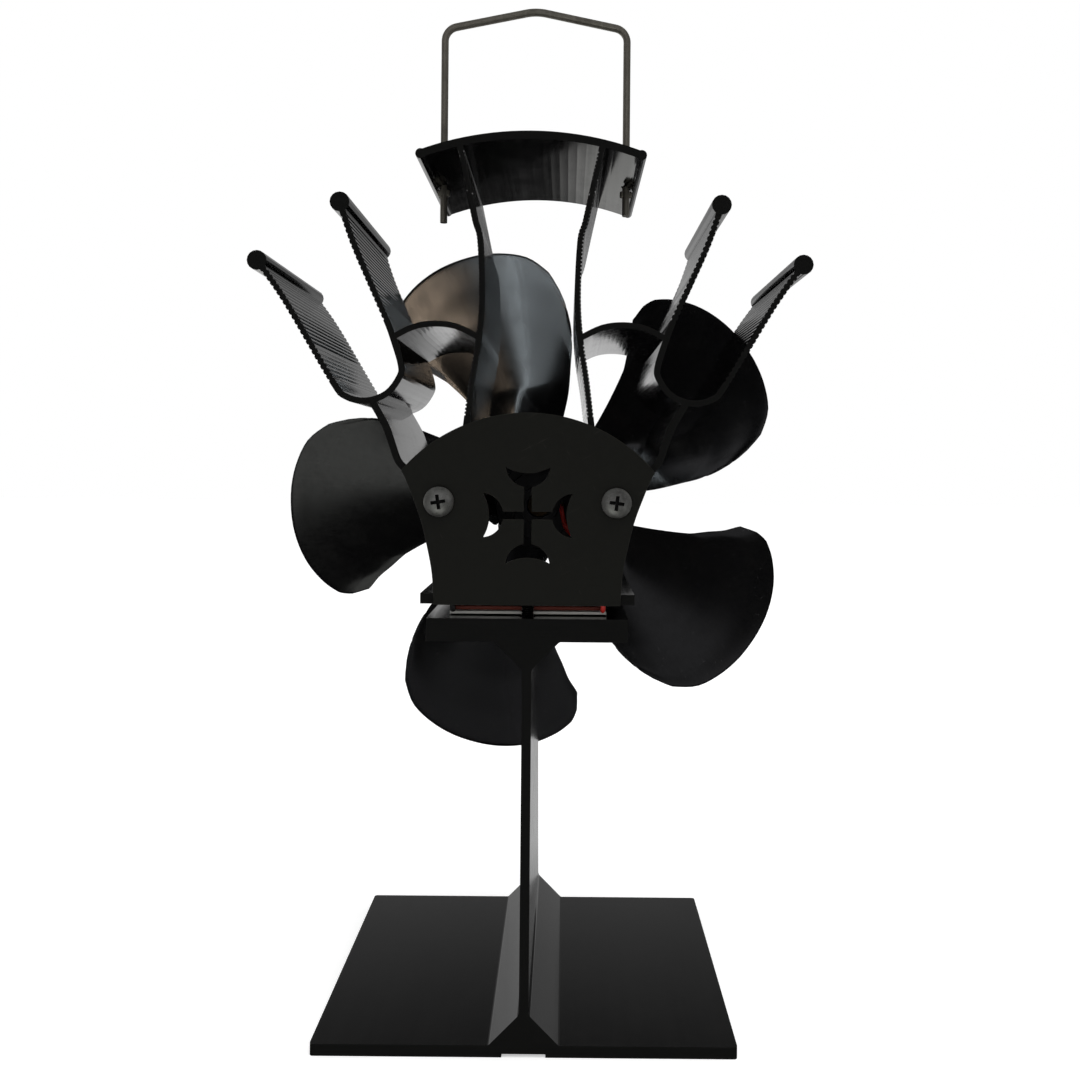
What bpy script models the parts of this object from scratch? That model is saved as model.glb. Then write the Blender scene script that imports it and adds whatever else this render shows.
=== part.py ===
"""Stove fan: a heat-powered fan that stands on a stove top and blows warm air into the room.

The foot takes heat from the stove and carries it up a web to a thermoelectric module. The finned
sink above the module stays cooler, and the difference drives a small motor with a five-bladed
wheel on the far side. A wire bail on top lifts the whole.

World frame: +Z up, +Y the way the air is blown, +X to the right as seen from the cover plate.
The origin lies on the floor, under the middle of the whole.
"""

import math

import bmesh
import bpy
from mathutils import Matrix, Vector

# Units, clearances and fineness
MM = 0.001
GAP = 0.3 * MM
OVERRUN = 2.0 * MM
WELD = 0.001 * MM
CORNER_WELD = 0.08 * MM
ROUND_STEPS = 24
SMALL_ROUND_STEPS = 16
PATH_STEPS = 4
SMOOTH_ANGLE = math.radians(35)

# Place of the near faces of the foot, the flange and the sink
NEAR_FACE_Y = -38.5 * MM

# Stand: foot plate, web and flange in one extrusion
FOOT_WIDTH = 107.2 * MM
FOOT_DEPTH = 73.5 * MM
FOOT_THICKNESS = 3.0 * MM
FOOT_CORNER_RADIUS = 0.8 * MM
FOOT_CORNER_STEPS = 3
FOOT_CHANNEL_WIDTH = 11.0 * MM
FOOT_CHANNEL_DEPTH = 0.85 * MM
STAND_HEIGHT = 109.7 * MM
WEB_THICKNESS = 2.4 * MM
FOOT_ROOT_RUN = 7.6 * MM
FLANGE_ROOT_RUN = 6.95 * MM
FLANGE_WIDTH = 50.6 * MM
FLANGE_THICKNESS = 5.8 * MM

# Thermoelectric module
MODULE_SIDE = 40.0 * MM
CERAMIC_THICKNESS = 0.7 * MM
PELLET_HEIGHT = 1.0 * MM
SEAL_WIDTH = 1.2 * MM

# Sink: one extrusion, whose outline points are shares of its half width and its height
SINK_DEPTH = 50.0 * MM
SINK_HALF_WIDTH = 68.4 * MM
SINK_HEIGHT = 118.5 * MM
SINK_FLOOR_WIDTH = 53.6 * MM
SINK_FLOOR_THICKNESS = 2.6 * MM
WALL_THICKNESS = 1.8 * MM
FIN_THICKNESS = 1.6 * MM
ARCH_THICKNESS = 1.5 * MM
CROWN_THICKNESS = 2.0 * MM
BEAD_RADIUS = 2.5 * MM
WALL_SHARES = (
    (0.326, 0.010), (0.334, 0.069), (0.352, 0.124), (0.374, 0.176), (0.402, 0.222),
    (0.441, 0.276), (0.477, 0.302), (0.503, 0.344), (0.526, 0.378), (0.575, 0.427),
)
FIN_SHARES = (
    (1.000, 0.722), (0.896, 0.638), (0.722, 0.470), (0.671, 0.436), (0.595, 0.427),
    (0.520, 0.443), (0.474, 0.478), (0.469, 0.503), (0.496, 0.555), (0.523, 0.597),
    (0.589, 0.682), (0.651, 0.765), (0.699, 0.847),
)
CENTRE_FIN_SHARES = (
    (0.230, 0.372), (0.209, 0.472), (0.186, 0.557), (0.175, 0.647), (0.183, 0.768),
    (0.202, 0.810), (0.234, 0.897), (0.263, 0.975),
)
ARCH_SHARES = ((0.186, 0.563), (0.265, 0.585), (0.344, 0.591), (0.424, 0.584), (0.500, 0.562))
VAULT_TOP_SHARE = 0.404
VAULT_SPRING_SHARES = (0.461, 0.281)
CROWN_END_SHARES = (0.410, 0.958)

# Cover plate, its ornament cut-out and its two screws
COVER_THICKNESS = 1.5 * MM
COVER_SCREW_SPACING = 44.0 * MM
COVER_SCREW_HEIGHT = 25.6 * MM
SCREW_BOSS_RADIUS = 3.4 * MM
CROSS_HEIGHT = 22.3 * MM
CROSS_BAR_WIDTH = 1.9 * MM
CROSS_UP_REACH = 12.0 * MM
CROSS_SIDE_REACH = 11.1 * MM
CRESCENT_HALF_SPAN = 5.5 * MM
CRESCENT_DEPTH = 5.0 * MM
CRESCENT_HOLLOW = 1.5 * MM
SCREW_RADIUS = 1.6 * MM
SCREW_HEAD_RADIUS = 3.75 * MM
SCREW_HEAD_HEIGHT = 1.9 * MM
SCREW_LENGTH = 8.0 * MM
RECESS_WIDTH = 1.0 * MM
RECESS_SPAN = 3.6 * MM
RECESS_DEPTH = 1.1 * MM

# Clamp screws, which pull the sink down on the module
CLAMP_INSET = 3.0 * MM
CLAMP_SCREW_RADIUS = 1.6 * MM
CLAMP_HEAD_RADIUS = 2.6 * MM
CLAMP_HEAD_HEIGHT = 2.6 * MM
CLAMP_SOCKET_RADIUS = 1.3 * MM
CLAMP_SOCKET_DEPTH = 1.3 * MM
CLAMP_WASHER_THICKNESS = 0.5 * MM
CLAMP_GRIP = 8.0 * MM

# Motor
AXIS_X = 2.0 * MM
AXIS_ABOVE_SINK_FOOT = 23.7 * MM
MOTOR_RADIUS = 12.0 * MM
MOTOR_LENGTH = 26.0 * MM
MOTOR_WALL = 0.8 * MM
END_CAP_THICKNESS = 1.5 * MM
END_CAP_SPIGOT = 1.5 * MM
MAGNET_THICKNESS = 1.9 * MM
MAGNET_LENGTH = 17.0 * MM
MAGNET_HALF_ANGLE = math.radians(55)
ARMATURE_RADIUS = 8.4 * MM
ARMATURE_LENGTH = 12.0 * MM
ARMATURE_HUB_RADIUS = 2.6 * MM
POLE_COUNT = 3
POLE_ARM_WIDTH = 2.4 * MM
POLE_SHOE_THICKNESS = 1.2 * MM
POLE_SHOE_HALF_ANGLE = math.radians(46)
POLE_STEP = 0.2 * MM
COIL_THICKNESS = 1.0 * MM
COIL_CLEARANCE = 0.4 * MM
COMMUTATOR_RADIUS = 2.5 * MM
COMMUTATOR_LENGTH = 3.6 * MM
BRUSH_WIDTH = 2.0 * MM
BRUSH_LENGTH = 4.5 * MM
TERMINAL_WIDTH = 2.2 * MM
TERMINAL_LENGTH = 3.6 * MM
TERMINAL_THICKNESS = 0.5 * MM
TERMINAL_SPACING = 13.0 * MM
BUSH_RADIUS = 3.0 * MM
FRONT_BUSH_LENGTH = 3.2 * MM
REAR_BUSH_LENGTH = 2.4 * MM
SHAFT_RADIUS = 1.0 * MM

# Motor bracket
BRACKET_THICKNESS = 1.2 * MM
BRACKET_WIDTH = 13.0 * MM
BRACKET_LENGTH = 52.0 * MM
MOTOR_SCREW_SPACING = 15.0 * MM
MOTOR_SCREW_RADIUS = 1.1 * MM
MOTOR_SCREW_HEAD_RADIUS = 2.1 * MM
MOTOR_SCREW_HEAD_HEIGHT = 1.3 * MM
MOTOR_SCREW_LENGTH = 2.6 * MM

# Fan wheel, hub and cap; edges are (share of the span, share of a blade's part of the turn)
ROTOR_RADIUS = 84.0 * MM
BLADE_COUNT = 5
BLADE_THICKNESS = 0.8 * MM
WHEEL_DEPTH = 71.0 * MM
WHEEL_DISC_RADIUS = 11.0 * MM
WHEEL_BORE_RADIUS = 3.0 * MM
BLADE_PITCH = math.radians(17)
BLADE_CAMBER = 2.0 * MM
BLADE_TWIST_END_SHARE = 0.44
BLADE_SPAN_STEPS = 10
BLADE_CHORD_STEPS = 10
DISC_GAP_STEPS = 3
LEADING_EDGE_SHARES = (
    (0.0, -0.9306), (0.48, -0.9306), (0.7, -0.9056), (0.85, -0.8889), (1.0, -0.8542),
)
TRAILING_EDGE_SHARES = (
    (0.0, -0.2639), (0.35, -0.2361), (0.52, -0.2125), (0.7, -0.1875), (0.8, -0.1597),
    (0.9, -0.1389), (1.0, -0.1111),
)
TIP_SHARES = (
    (-0.8542, 0.700), (-0.8333, 0.760), (-0.8056, 0.810), (-0.7639, 0.875), (-0.6944, 0.935),
    (-0.6111, 0.968), (-0.5278, 0.988), (-0.4167, 1.000), (-0.3333, 0.998), (-0.2639, 0.985),
    (-0.1944, 0.958), (-0.1458, 0.925), (-0.1222, 0.880), (-0.1111, 0.815),
)
HUB_BOSS_RADIUS = 4.5 * MM
HUB_BOSS_LENGTH = 10.0 * MM
HUB_FLANGE_RADIUS = 8.5 * MM
HUB_FLANGE_THICKNESS = 2.2 * MM
HUB_SPIGOT_LENGTH = 2.0 * MM
CAP_RADIUS = 7.5 * MM
CAP_LENGTH = 6.5 * MM
CAP_WALL = 1.6 * MM
SHAFT_PAST_SPIGOT = 1.2 * MM
SET_SCREW_RADIUS = 1.5 * MM

# Wire bail on top
HANDLE_WIRE_RADIUS = 1.0 * MM
HANDLE_LEG_SPACING = 50.8 * MM
HANDLE_REACH = 37.8 * MM
HANDLE_RISE = 5.2 * MM
HANDLE_BEND_RADIUS = 4.0 * MM
HANDLE_RIDGE_RADIUS = 14.0 * MM
HANDLE_LEFT_DROP = 16.2 * MM
HANDLE_RIGHT_DROP = 14.0 * MM
HANDLE_HOLE_CLEARANCE = 0.35 * MM
EAR_LENGTH = 1.9 * MM
EAR_SPREAD = 1.7 * MM
EAR_THICKNESS = 1.2 * MM

# Leads from the module up through notches in the sink's floor
LEAD_RADIUS = 0.65 * MM
LEAD_NOTCH_WIDTH = 2.6 * MM
LEAD_NOTCH_DEPTH = 2.4 * MM
LEAD_SPACING = 38.0 * MM

# Heights and places worked out from the sizes above
SINK_FOOT_Z = STAND_HEIGHT + 2 * CERAMIC_THICKNESS + PELLET_HEIGHT + 4 * GAP
SINK_FLOOR_Z = SINK_FOOT_Z + SINK_FLOOR_THICKNESS
SINK_TOP_Z = SINK_FOOT_Z + SINK_HEIGHT
HANDLE_SHOULDER_Z = SINK_TOP_Z + HANDLE_REACH
AXIS_Z = SINK_FOOT_Z + AXIS_ABOVE_SINK_FOOT
SINK_MIDDLE_Y = NEAR_FACE_Y + SINK_DEPTH / 2
SINK_FAR_Y = NEAR_FACE_Y + SINK_DEPTH
BRACKET_Y = SINK_FAR_Y + GAP
MOTOR_FRONT_Y = BRACKET_Y - GAP
MOTOR_REAR_Y = MOTOR_FRONT_Y - MOTOR_LENGTH
SPIGOT_Y = MOTOR_REAR_Y + END_CAP_SPIGOT
COMMUTATOR_Y = SPIGOT_Y + GAP
WHEEL_Y = NEAR_FACE_Y + WHEEL_DEPTH
SHAFT_BORE_RADIUS = SHAFT_RADIUS + GAP

ROTOR_PIECES = (
    "motor_shaft", "motor_armature", "motor_coil_a", "motor_coil_b", "motor_coil_c",
    "motor_commutator", "fan_hub", "hub_set_screw", "fan_wheel", "hub_cap",
)

ALONG_NEAR = Matrix.Rotation(math.radians(90), 4, "X")
ALONG_FAR = Matrix.Rotation(math.radians(-90), 4, "X")


# Scene

def clear_scene():
    """Remove every object, so that the model starts from nothing."""
    for thing in list(bpy.data.objects):
        bpy.data.objects.remove(thing)


def add_collection(name):
    """Make a collection under the scene's own and return it."""
    collection = bpy.data.collections.new(name)
    bpy.context.scene.collection.children.link(collection)
    return collection


def add_object(name, data, place=None):
    """Put mesh or curve data in the stove fan's collection as an object."""
    thing = bpy.data.objects.new(name, data)
    PARTS.objects.link(thing)
    if place is not None:
        thing.matrix_world = place
    return thing


def add_finish(name, colour, roughness, metallic):
    """Make one plain material."""
    finish = bpy.data.materials.new(name)
    finish.use_nodes = True
    shader = finish.node_tree.nodes["Principled BSDF"]
    shader.inputs["Base Color"].default_value = (*colour, 1.0)
    shader.inputs["Roughness"].default_value = roughness
    shader.inputs["Metallic"].default_value = metallic
    return finish


# Shape helpers

def bake(thing):
    """Replace an object by the closed mesh that it evaluates to, under the same name."""
    bpy.context.view_layer.update()
    graph = bpy.context.evaluated_depsgraph_get()
    mesh = bpy.data.meshes.new_from_object(thing.evaluated_get(graph))
    shape = bmesh.new()
    shape.from_mesh(mesh)
    bmesh.ops.remove_doubles(shape, verts=shape.verts, dist=WELD)
    bmesh.ops.recalc_face_normals(shape, faces=shape.faces)
    shape.to_mesh(mesh)
    shape.free()
    name = thing.name
    place = thing.matrix_world.copy()
    bpy.data.objects.remove(thing)
    mesh.name = name
    return add_object(name, mesh, place)


def weld_corners(thing):
    """Merge the corners that crossing walls leave almost on top of each other."""
    shape = bmesh.new()
    shape.from_mesh(thing.data)
    bmesh.ops.remove_doubles(shape, verts=shape.verts, dist=CORNER_WELD)
    shape.to_mesh(thing.data)
    shape.free()


def combine(target, other, operation):
    """Join or cut one solid with another and drop the other one."""
    modifier = target.modifiers.new("combine", "BOOLEAN")
    modifier.solver = "EXACT"
    modifier.operation = operation
    modifier.object = other
    solid = bake(target)
    bpy.data.objects.remove(other)
    return solid


def join(target, other):
    """Unite two overlapping solids."""
    return combine(target, other, "UNION")


def cut(target, cutter):
    """Cut a solid with a cutter."""
    return combine(target, cutter, "DIFFERENCE")


def dress(thing, colour, roughness, metallic):
    """Shade an object smoothly over its round stretches and give it its own material."""
    thing.data.shade_smooth()
    thing.data.set_sharp_from_angle(angle=SMOOTH_ANGLE)
    thing.data.materials.clear()
    thing.data.materials.append(add_finish(thing.name, colour, roughness, metallic))
    return thing


def slab(name, loop, low_y, high_y):
    """Extrude one closed outline, given as (x, z) points, between two depths."""
    mesh = bpy.data.meshes.new(name)
    shape = bmesh.new()
    face = shape.faces.new([shape.verts.new((x, low_y, z)) for x, z in loop])
    raised = bmesh.ops.extrude_face_region(shape, geom=[face])["geom"]
    moved = [item for item in raised if isinstance(item, bmesh.types.BMVert)]
    bmesh.ops.translate(shape, vec=(0, high_y - low_y, 0), verts=moved)
    bmesh.ops.recalc_face_normals(shape, faces=shape.faces)
    shape.to_mesh(mesh)
    shape.free()
    return add_object(name, mesh)


def plate(name, loops, low_y, high_y):
    """Extrude an outline between two depths and cut its inner loops through it."""
    solid = slab(name, loops[0], low_y, high_y)
    for loop in loops[1:]:
        solid = cut(solid, slab("loop_cutter", loop, low_y - OVERRUN, high_y + OVERRUN))
    return solid


def side_plate(name, loop, half_width):
    """Extrude a closed outline, given as (y, z) points, to both sides of the middle plane."""
    solid = slab(name, loop, -half_width, half_width)
    solid.data.transform(Matrix.Rotation(math.radians(90), 4, "Z"))
    return solid


def block(name, low, high, place=None):
    """A box between two corners."""
    mesh = bpy.data.meshes.new(name)
    shape = bmesh.new()
    bmesh.ops.create_cube(shape, size=1)
    low = Vector(low)
    high = Vector(high)
    spread = Matrix.Diagonal((*(high - low), 1))
    bmesh.ops.transform(shape, matrix=Matrix.Translation((low + high) / 2) @ spread, verts=shape.verts)
    shape.to_mesh(mesh)
    shape.free()
    return add_object(name, mesh, place)


def turned(name, profile, place, steps=ROUND_STEPS):
    """Turn a closed (radius, height) profile about the local Z axis."""
    return turn_edges(name, profile, len(profile), place, steps)


def solid_turned(name, profile, place, steps=ROUND_STEPS):
    """Turn an open profile that starts and ends on the axis."""
    return turn_edges(name, profile, len(profile) - 1, place, steps)


def turn_edges(name, profile, edge_count, place, steps):
    """Turn a profile with the given number of edges about the local Z axis."""
    mesh = bpy.data.meshes.new(name)
    points = [(radius, 0, height) for radius, height in profile]
    mesh.from_pydata(points, [(i, (i + 1) % len(points)) for i in range(edge_count)], [])
    thing = add_object(name, mesh, place)
    screw = thing.modifiers.new("turn", "SCREW")
    screw.axis = "Z"
    screw.steps = steps
    screw.render_steps = steps
    screw.use_merge_vertices = True
    screw.merge_threshold = WELD
    return bake(thing)


def rod(name, radius, low, high, place, steps=SMALL_ROUND_STEPS):
    """A plain round bar along the local Z axis."""
    return solid_turned(name, ((0, high), (radius, high), (radius, low), (0, low)), place, steps)


def ring(name, bore, radius, low, high, place, steps=ROUND_STEPS):
    """A plain tube along the local Z axis."""
    profile = ((bore, high), (radius, high), (radius, low), (bore, low))
    return turned(name, profile, place, steps)


def tube(name, points, radius, resolution=2):
    """A round wire along a list of points, with closed ends."""
    curve = bpy.data.curves.new(name, "CURVE")
    curve.dimensions = "3D"
    curve.bevel_depth = radius
    curve.bevel_resolution = resolution
    curve.use_fill_caps = True
    spline = curve.splines.new("POLY")
    spline.points.add(len(points) - 1)
    for target, point in zip(spline.points, points):
        target.co = (*point, 1)
    return bake(add_object(name, curve))


# Outline helpers

def smooth_path(points, steps=PATH_STEPS):
    """A smooth curve through points of any dimension, as a denser list of points."""
    vectors = [Vector(point) for point in points]
    path = []
    for index in range(len(vectors) - 1):
        before = vectors[max(index - 1, 0)]
        start = vectors[index]
        end = vectors[index + 1]
        after = vectors[min(index + 2, len(vectors) - 1)]
        for step in range(steps):
            t = step / steps
            point = start * 2
            point += (end - before) * t
            point += (before * 2 - start * 5 + end * 4 - after) * t ** 2
            point += (start * 3 - before - end * 3 + after) * t ** 3
            path.append(point / 2)
    path.append(vectors[-1])
    return path


def side_of(path, offset):
    """The path moved sideways, to its left for a positive offset."""
    moved = []
    for index, point in enumerate(path):
        ahead = path[min(index + 1, len(path) - 1)]
        behind = path[max(index - 1, 0)]
        along = (ahead - behind).normalized()
        moved.append(Vector((point.x - along.y * offset, point.y + along.x * offset)))
    return moved


def strip(path, thickness):
    """The closed outline of a wall of even thickness about its middle line."""
    return side_of(path, thickness / 2) + list(reversed(side_of(path, -thickness / 2)))


def arc(centre, radius, start, end, steps):
    """Points on a circle from one angle to another, in radians."""
    points = []
    for step in range(steps + 1):
        angle = start + (end - start) * step / steps
        points.append(Vector((centre[0] + radius * math.cos(angle), centre[1] + radius * math.sin(angle))))
    return points


def circle(centre, radius, steps=SMALL_ROUND_STEPS):
    """A closed circle as a loop of points."""
    return arc(centre, radius, 0, math.tau, steps)[:-1]


def arc_radius(half_chord, rise):
    """The radius of a circle with the given half chord and rise."""
    return (half_chord ** 2 + rise ** 2) / (2 * rise)


def lookup(table, at):
    """Read a smooth value from a table of (place, value) rows."""
    places = [row[0] for row in table]
    values = [row[1] for row in table]
    index = 0
    while index < len(table) - 2 and at > places[index + 1]:
        index += 1
    share = (at - places[index]) / (places[index + 1] - places[index])
    before = values[max(index - 1, 0)]
    after = values[min(index + 2, len(values) - 1)]
    start = values[index]
    end = values[index + 1]
    bend = (end - before) * share + (before * 2 - start * 5 + end * 4 - after) * share ** 2
    bend += (start * 3 - before - end * 3 + after) * share ** 3
    return start + bend / 2


def sink_point(shares):
    """A point of the sink's outline from its shares of half width and height."""
    return Vector((shares[0] * SINK_HALF_WIDTH, SINK_FOOT_Z + shares[1] * SINK_HEIGHT))


def sink_path(table):
    """A smooth middle line through a table of shares."""
    return smooth_path([sink_point(row) for row in table])


def vault_circle():
    """Centre and outer radius of the arched top of the motor chamber."""
    spring = sink_point(VAULT_SPRING_SHARES)
    top = SINK_FOOT_Z + VAULT_TOP_SHARE * SINK_HEIGHT
    radius = arc_radius(spring.x, top - spring.y)
    return Vector((0, top - radius)), radius


def crown_circle():
    """Centre and outer radius of the arched top plate of the sink."""
    end = sink_point(CROWN_END_SHARES)
    radius = arc_radius(end.x, SINK_TOP_Z - end.y)
    return Vector((0, SINK_TOP_Z - radius)), radius


# Stand

def build_stand():
    """Foot plate, web and flange, cut back on the far side to clear the wheel."""
    foot = FOOT_WIDTH / 2
    channel = FOOT_CHANNEL_WIDTH / 2
    web = WEB_THICKNESS / 2
    flange = FLANGE_WIDTH / 2
    flange_z = STAND_HEIGHT - FLANGE_THICKNESS
    half = [
        (channel, FOOT_CHANNEL_DEPTH),
        (channel, 0),
        (foot, 0),
        (foot, FOOT_THICKNESS),
        (web + FOOT_ROOT_RUN, FOOT_THICKNESS),
        (web, FOOT_THICKNESS + FOOT_ROOT_RUN),
        (web, flange_z - FLANGE_ROOT_RUN),
        (web + FLANGE_ROOT_RUN, flange_z),
        (flange, flange_z),
        (flange, STAND_HEIGHT),
    ]
    outline = half + [(-x, z) for x, z in reversed(half)]
    stand = plate("base_stand", [outline], NEAR_FACE_Y, NEAR_FACE_Y + FOOT_DEPTH)
    round_foot_corners(stand)
    foot_far_y = NEAR_FACE_Y + FOOT_DEPTH
    past_y = foot_far_y + OVERRUN
    past_z = STAND_HEIGHT + OVERRUN
    low_z = FOOT_THICKNESS + FOOT_ROOT_RUN
    slant = [
        (foot_far_y, low_z),
        (SINK_FAR_Y, flange_z),
        (SINK_FAR_Y, past_z),
        (past_y, past_z),
        (past_y, low_z),
    ]
    stand = cut(stand, side_plate("slant_cutter", slant, flange + OVERRUN))
    for y in clamp_places():
        place = Matrix.Translation((0, y, 0))
        low = STAND_HEIGHT - CLAMP_GRIP - GAP
        stand = cut(stand, rod("hole_cutter", CLAMP_SCREW_RADIUS + GAP, low, past_z, place))
    return dress(stand, (0.012, 0.012, 0.010), 0.42, 0.6)


def round_foot_corners(stand):
    """File the four upright corners of the foot round."""
    shape = bmesh.new()
    shape.from_mesh(stand.data)
    side = FOOT_WIDTH / 2
    corners = []
    for edge in shape.edges:
        on_side = all(abs(abs(point.co.x) - side) < WELD for point in edge.verts)
        upright = abs(edge.verts[0].co.z - edge.verts[1].co.z) > FOOT_THICKNESS / 2
        if on_side and upright:
            corners.append(edge)
    bmesh.ops.bevel(
        shape,
        geom=corners,
        offset=FOOT_CORNER_RADIUS,
        segments=FOOT_CORNER_STEPS,
        profile=0.5,
        affect="EDGES",
    )
    shape.to_mesh(stand.data)
    shape.free()


def clamp_places():
    """Depths of the two clamp screws."""
    return (NEAR_FACE_Y + CLAMP_INSET, SINK_FAR_Y - CLAMP_INSET)


# Thermoelectric module

def build_module():
    """Two ceramic plates, the field of pellets between them and the seal round its edge."""
    half = MODULE_SIDE / 2
    inner = half - SEAL_WIDTH
    near = SINK_MIDDLE_Y - half
    far = SINK_MIDDLE_Y + half
    hot_z = STAND_HEIGHT + GAP
    pellet_z = hot_z + CERAMIC_THICKNESS + GAP
    cold_z = pellet_z + PELLET_HEIGHT + GAP
    hot = block("teg_hot_ceramic", (-half, near, hot_z), (half, far, hot_z + CERAMIC_THICKNESS))
    dress(hot, (0.75, 0.74, 0.70), 0.5, 0.0)
    cold = block("teg_cold_ceramic", (-half, near, cold_z), (half, far, cold_z + CERAMIC_THICKNESS))
    dress(cold, (0.75, 0.74, 0.70), 0.5, 0.0)
    pellet_inset = inner - GAP
    low = (-pellet_inset, SINK_MIDDLE_Y - pellet_inset, pellet_z)
    high = (pellet_inset, SINK_MIDDLE_Y + pellet_inset, pellet_z + PELLET_HEIGHT)
    dress(block("teg_pellets", low, high), (0.25, 0.26, 0.28), 0.35, 0.8)
    seal = block("teg_seal", (-half, near, pellet_z), (half, far, pellet_z + PELLET_HEIGHT))
    hollow_low = (-inner, SINK_MIDDLE_Y - inner, pellet_z - OVERRUN)
    hollow_high = (inner, SINK_MIDDLE_Y + inner, pellet_z + PELLET_HEIGHT + OVERRUN)
    seal = cut(seal, block("seal_cutter", hollow_low, hollow_high))
    dress(seal, (0.16, 0.03, 0.02), 0.55, 0.0)


# Sink

def sink_wall(name, outline):
    """One wall of the sink, run past both ends of the sink's depth."""
    return plate(name, [outline], NEAR_FACE_Y - OVERRUN, SINK_FAR_Y + OVERRUN)


def build_sink():
    """The finned extrusion: walls are joined on the right and mirrored to the left."""
    floor_half = SINK_FLOOR_WIDTH / 2
    centre, radius = vault_circle()
    mid_radius = radius - WALL_THICKNESS / 2
    spring = math.atan2(sink_point(VAULT_SPRING_SHARES).y - centre.y, sink_point(VAULT_SPRING_SHARES).x)
    vault = arc(centre, mid_radius, spring, math.pi - spring, ROUND_STEPS)
    crown_centre, crown_radius = crown_circle()
    crown_end = sink_point(CROWN_END_SHARES)
    tip = math.atan2(crown_end.y - crown_centre.y, crown_end.x)
    crown = arc(crown_centre, crown_radius - CROWN_THICKNESS / 2, tip, math.pi - tip, ROUND_STEPS)
    fin = sink_path(FIN_SHARES)
    boss = Vector((COVER_SCREW_SPACING / 2, SINK_FOOT_Z + COVER_SCREW_HEIGHT))
    wall = sink_path(WALL_SHARES)
    wall_at_boss = min(wall, key=lambda point: abs(point.y - boss.y))
    outlines = [
        strip(wall, WALL_THICKNESS),
        strip(vault, WALL_THICKNESS),
        strip(sink_path(CENTRE_FIN_SHARES), FIN_THICKNESS),
        strip(crown, CROWN_THICKNESS),
        strip(fin, FIN_THICKNESS),
        strip(sink_path(ARCH_SHARES), ARCH_THICKNESS),
        circle(fin[0], BEAD_RADIUS),
        circle(fin[-1], BEAD_RADIUS),
        circle(crown[0], CROWN_THICKNESS / 2 + GAP),
        strip([boss, wall_at_boss], SCREW_BOSS_RADIUS),
        circle(boss, SCREW_BOSS_RADIUS),
    ]
    floor = [
        (-floor_half, SINK_FOOT_Z),
        (floor_half, SINK_FOOT_Z),
        (floor_half, SINK_FLOOR_Z),
        (-floor_half, SINK_FLOOR_Z),
    ]
    sink = sink_wall("heat_sink", floor)
    for outline in outlines:
        sink = join(sink, sink_wall("sink_wall", outline))
    sink = square_sink_ends(sink)
    weld_corners(sink)
    mirror = sink.modifiers.new("other side", "MIRROR")
    mirror.use_axis = (True, False, False)
    mirror.use_bisect_axis = (True, False, False)
    mirror.use_bisect_flip_axis = (False, False, False)
    mirror.merge_threshold = WELD
    sink = cut_sink_holes(bake(sink), boss)
    return dress(sink, (0.014, 0.014, 0.012), 0.4, 0.6)


def square_sink_ends(sink):
    """Cut both ends of the joined walls off flat, at the sink's true depth."""
    reach = SINK_HALF_WIDTH + BEAD_RADIUS + OVERRUN
    low = SINK_FOOT_Z - OVERRUN
    top = SINK_TOP_Z + OVERRUN
    near_low = (-reach, NEAR_FACE_Y - OVERRUN * 2, low)
    sink = cut(sink, block("end_cutter", near_low, (reach, NEAR_FACE_Y, top)))
    far_high = (reach, SINK_FAR_Y + OVERRUN * 2, top)
    return cut(sink, block("end_cutter", (-reach, SINK_FAR_Y, low), far_high))


def cut_sink_holes(sink, boss):
    """Cut the screw ports, the handle holes, the lead notches and the clamp holes."""
    low = SINK_FOOT_Z - OVERRUN
    top = SINK_TOP_Z + OVERRUN
    near = NEAR_FACE_Y - OVERRUN
    far = SINK_FAR_Y + OVERRUN
    hole_radius = HANDLE_WIRE_RADIUS + HANDLE_HOLE_CLEARANCE
    hole_low = sink_point(CROWN_END_SHARES).y - CROWN_THICKNESS - OVERRUN
    notch_half = LEAD_NOTCH_WIDTH / 2
    notch_far = NEAR_FACE_Y + LEAD_NOTCH_DEPTH
    notch_top = SINK_FLOOR_Z + GAP
    for side in (-1, 1):
        port = Matrix.Translation((side * boss.x, 0, boss.y)) @ ALONG_FAR
        sink = cut(sink, rod("port_cutter", SCREW_RADIUS + GAP, near, far, port))
        hole = Matrix.Translation((side * HANDLE_LEG_SPACING / 2, SINK_MIDDLE_Y, 0))
        sink = cut(sink, rod("hole_cutter", hole_radius, hole_low, top, hole))
        notch_x = side * LEAD_SPACING / 2
        notch_low = (notch_x - notch_half, near, low)
        sink = cut(sink, block("notch_cutter", notch_low, (notch_x + notch_half, notch_far, notch_top)))
    for y in clamp_places():
        place = Matrix.Translation((0, y, 0))
        floor_top = SINK_FLOOR_Z + OVERRUN
        sink = cut(sink, rod("hole_cutter", CLAMP_SCREW_RADIUS + GAP, low, floor_top, place))
    return sink


# Cover plate

def crescent_arm(reach):
    """Right half of one arm of the ornament, from its foot by the middle out to its tip."""
    bar = CROSS_BAR_WIDTH / 2
    base = reach - CRESCENT_DEPTH
    inner = arc_radius(CRESCENT_HALF_SPAN, CRESCENT_DEPTH)
    start = math.asin(bar / inner)
    end = math.asin(min(1, CRESCENT_HALF_SPAN / inner))
    points = [(bar, bar)]
    for step in range(PATH_STEPS + 2):
        angle = start + (end - start) * step / (PATH_STEPS + 1)
        points.append((inner * math.sin(angle), base + inner - inner * math.cos(angle)))
    outer = arc_radius(CRESCENT_HALF_SPAN, CRESCENT_HOLLOW)
    turn = math.asin(CRESCENT_HALF_SPAN / outer)
    for step in range(1, PATH_STEPS + 1):
        angle = turn * (1 - step / PATH_STEPS)
        points.append((outer * math.sin(angle), reach - CRESCENT_HOLLOW + outer - outer * math.cos(angle)))
    return points


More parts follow.
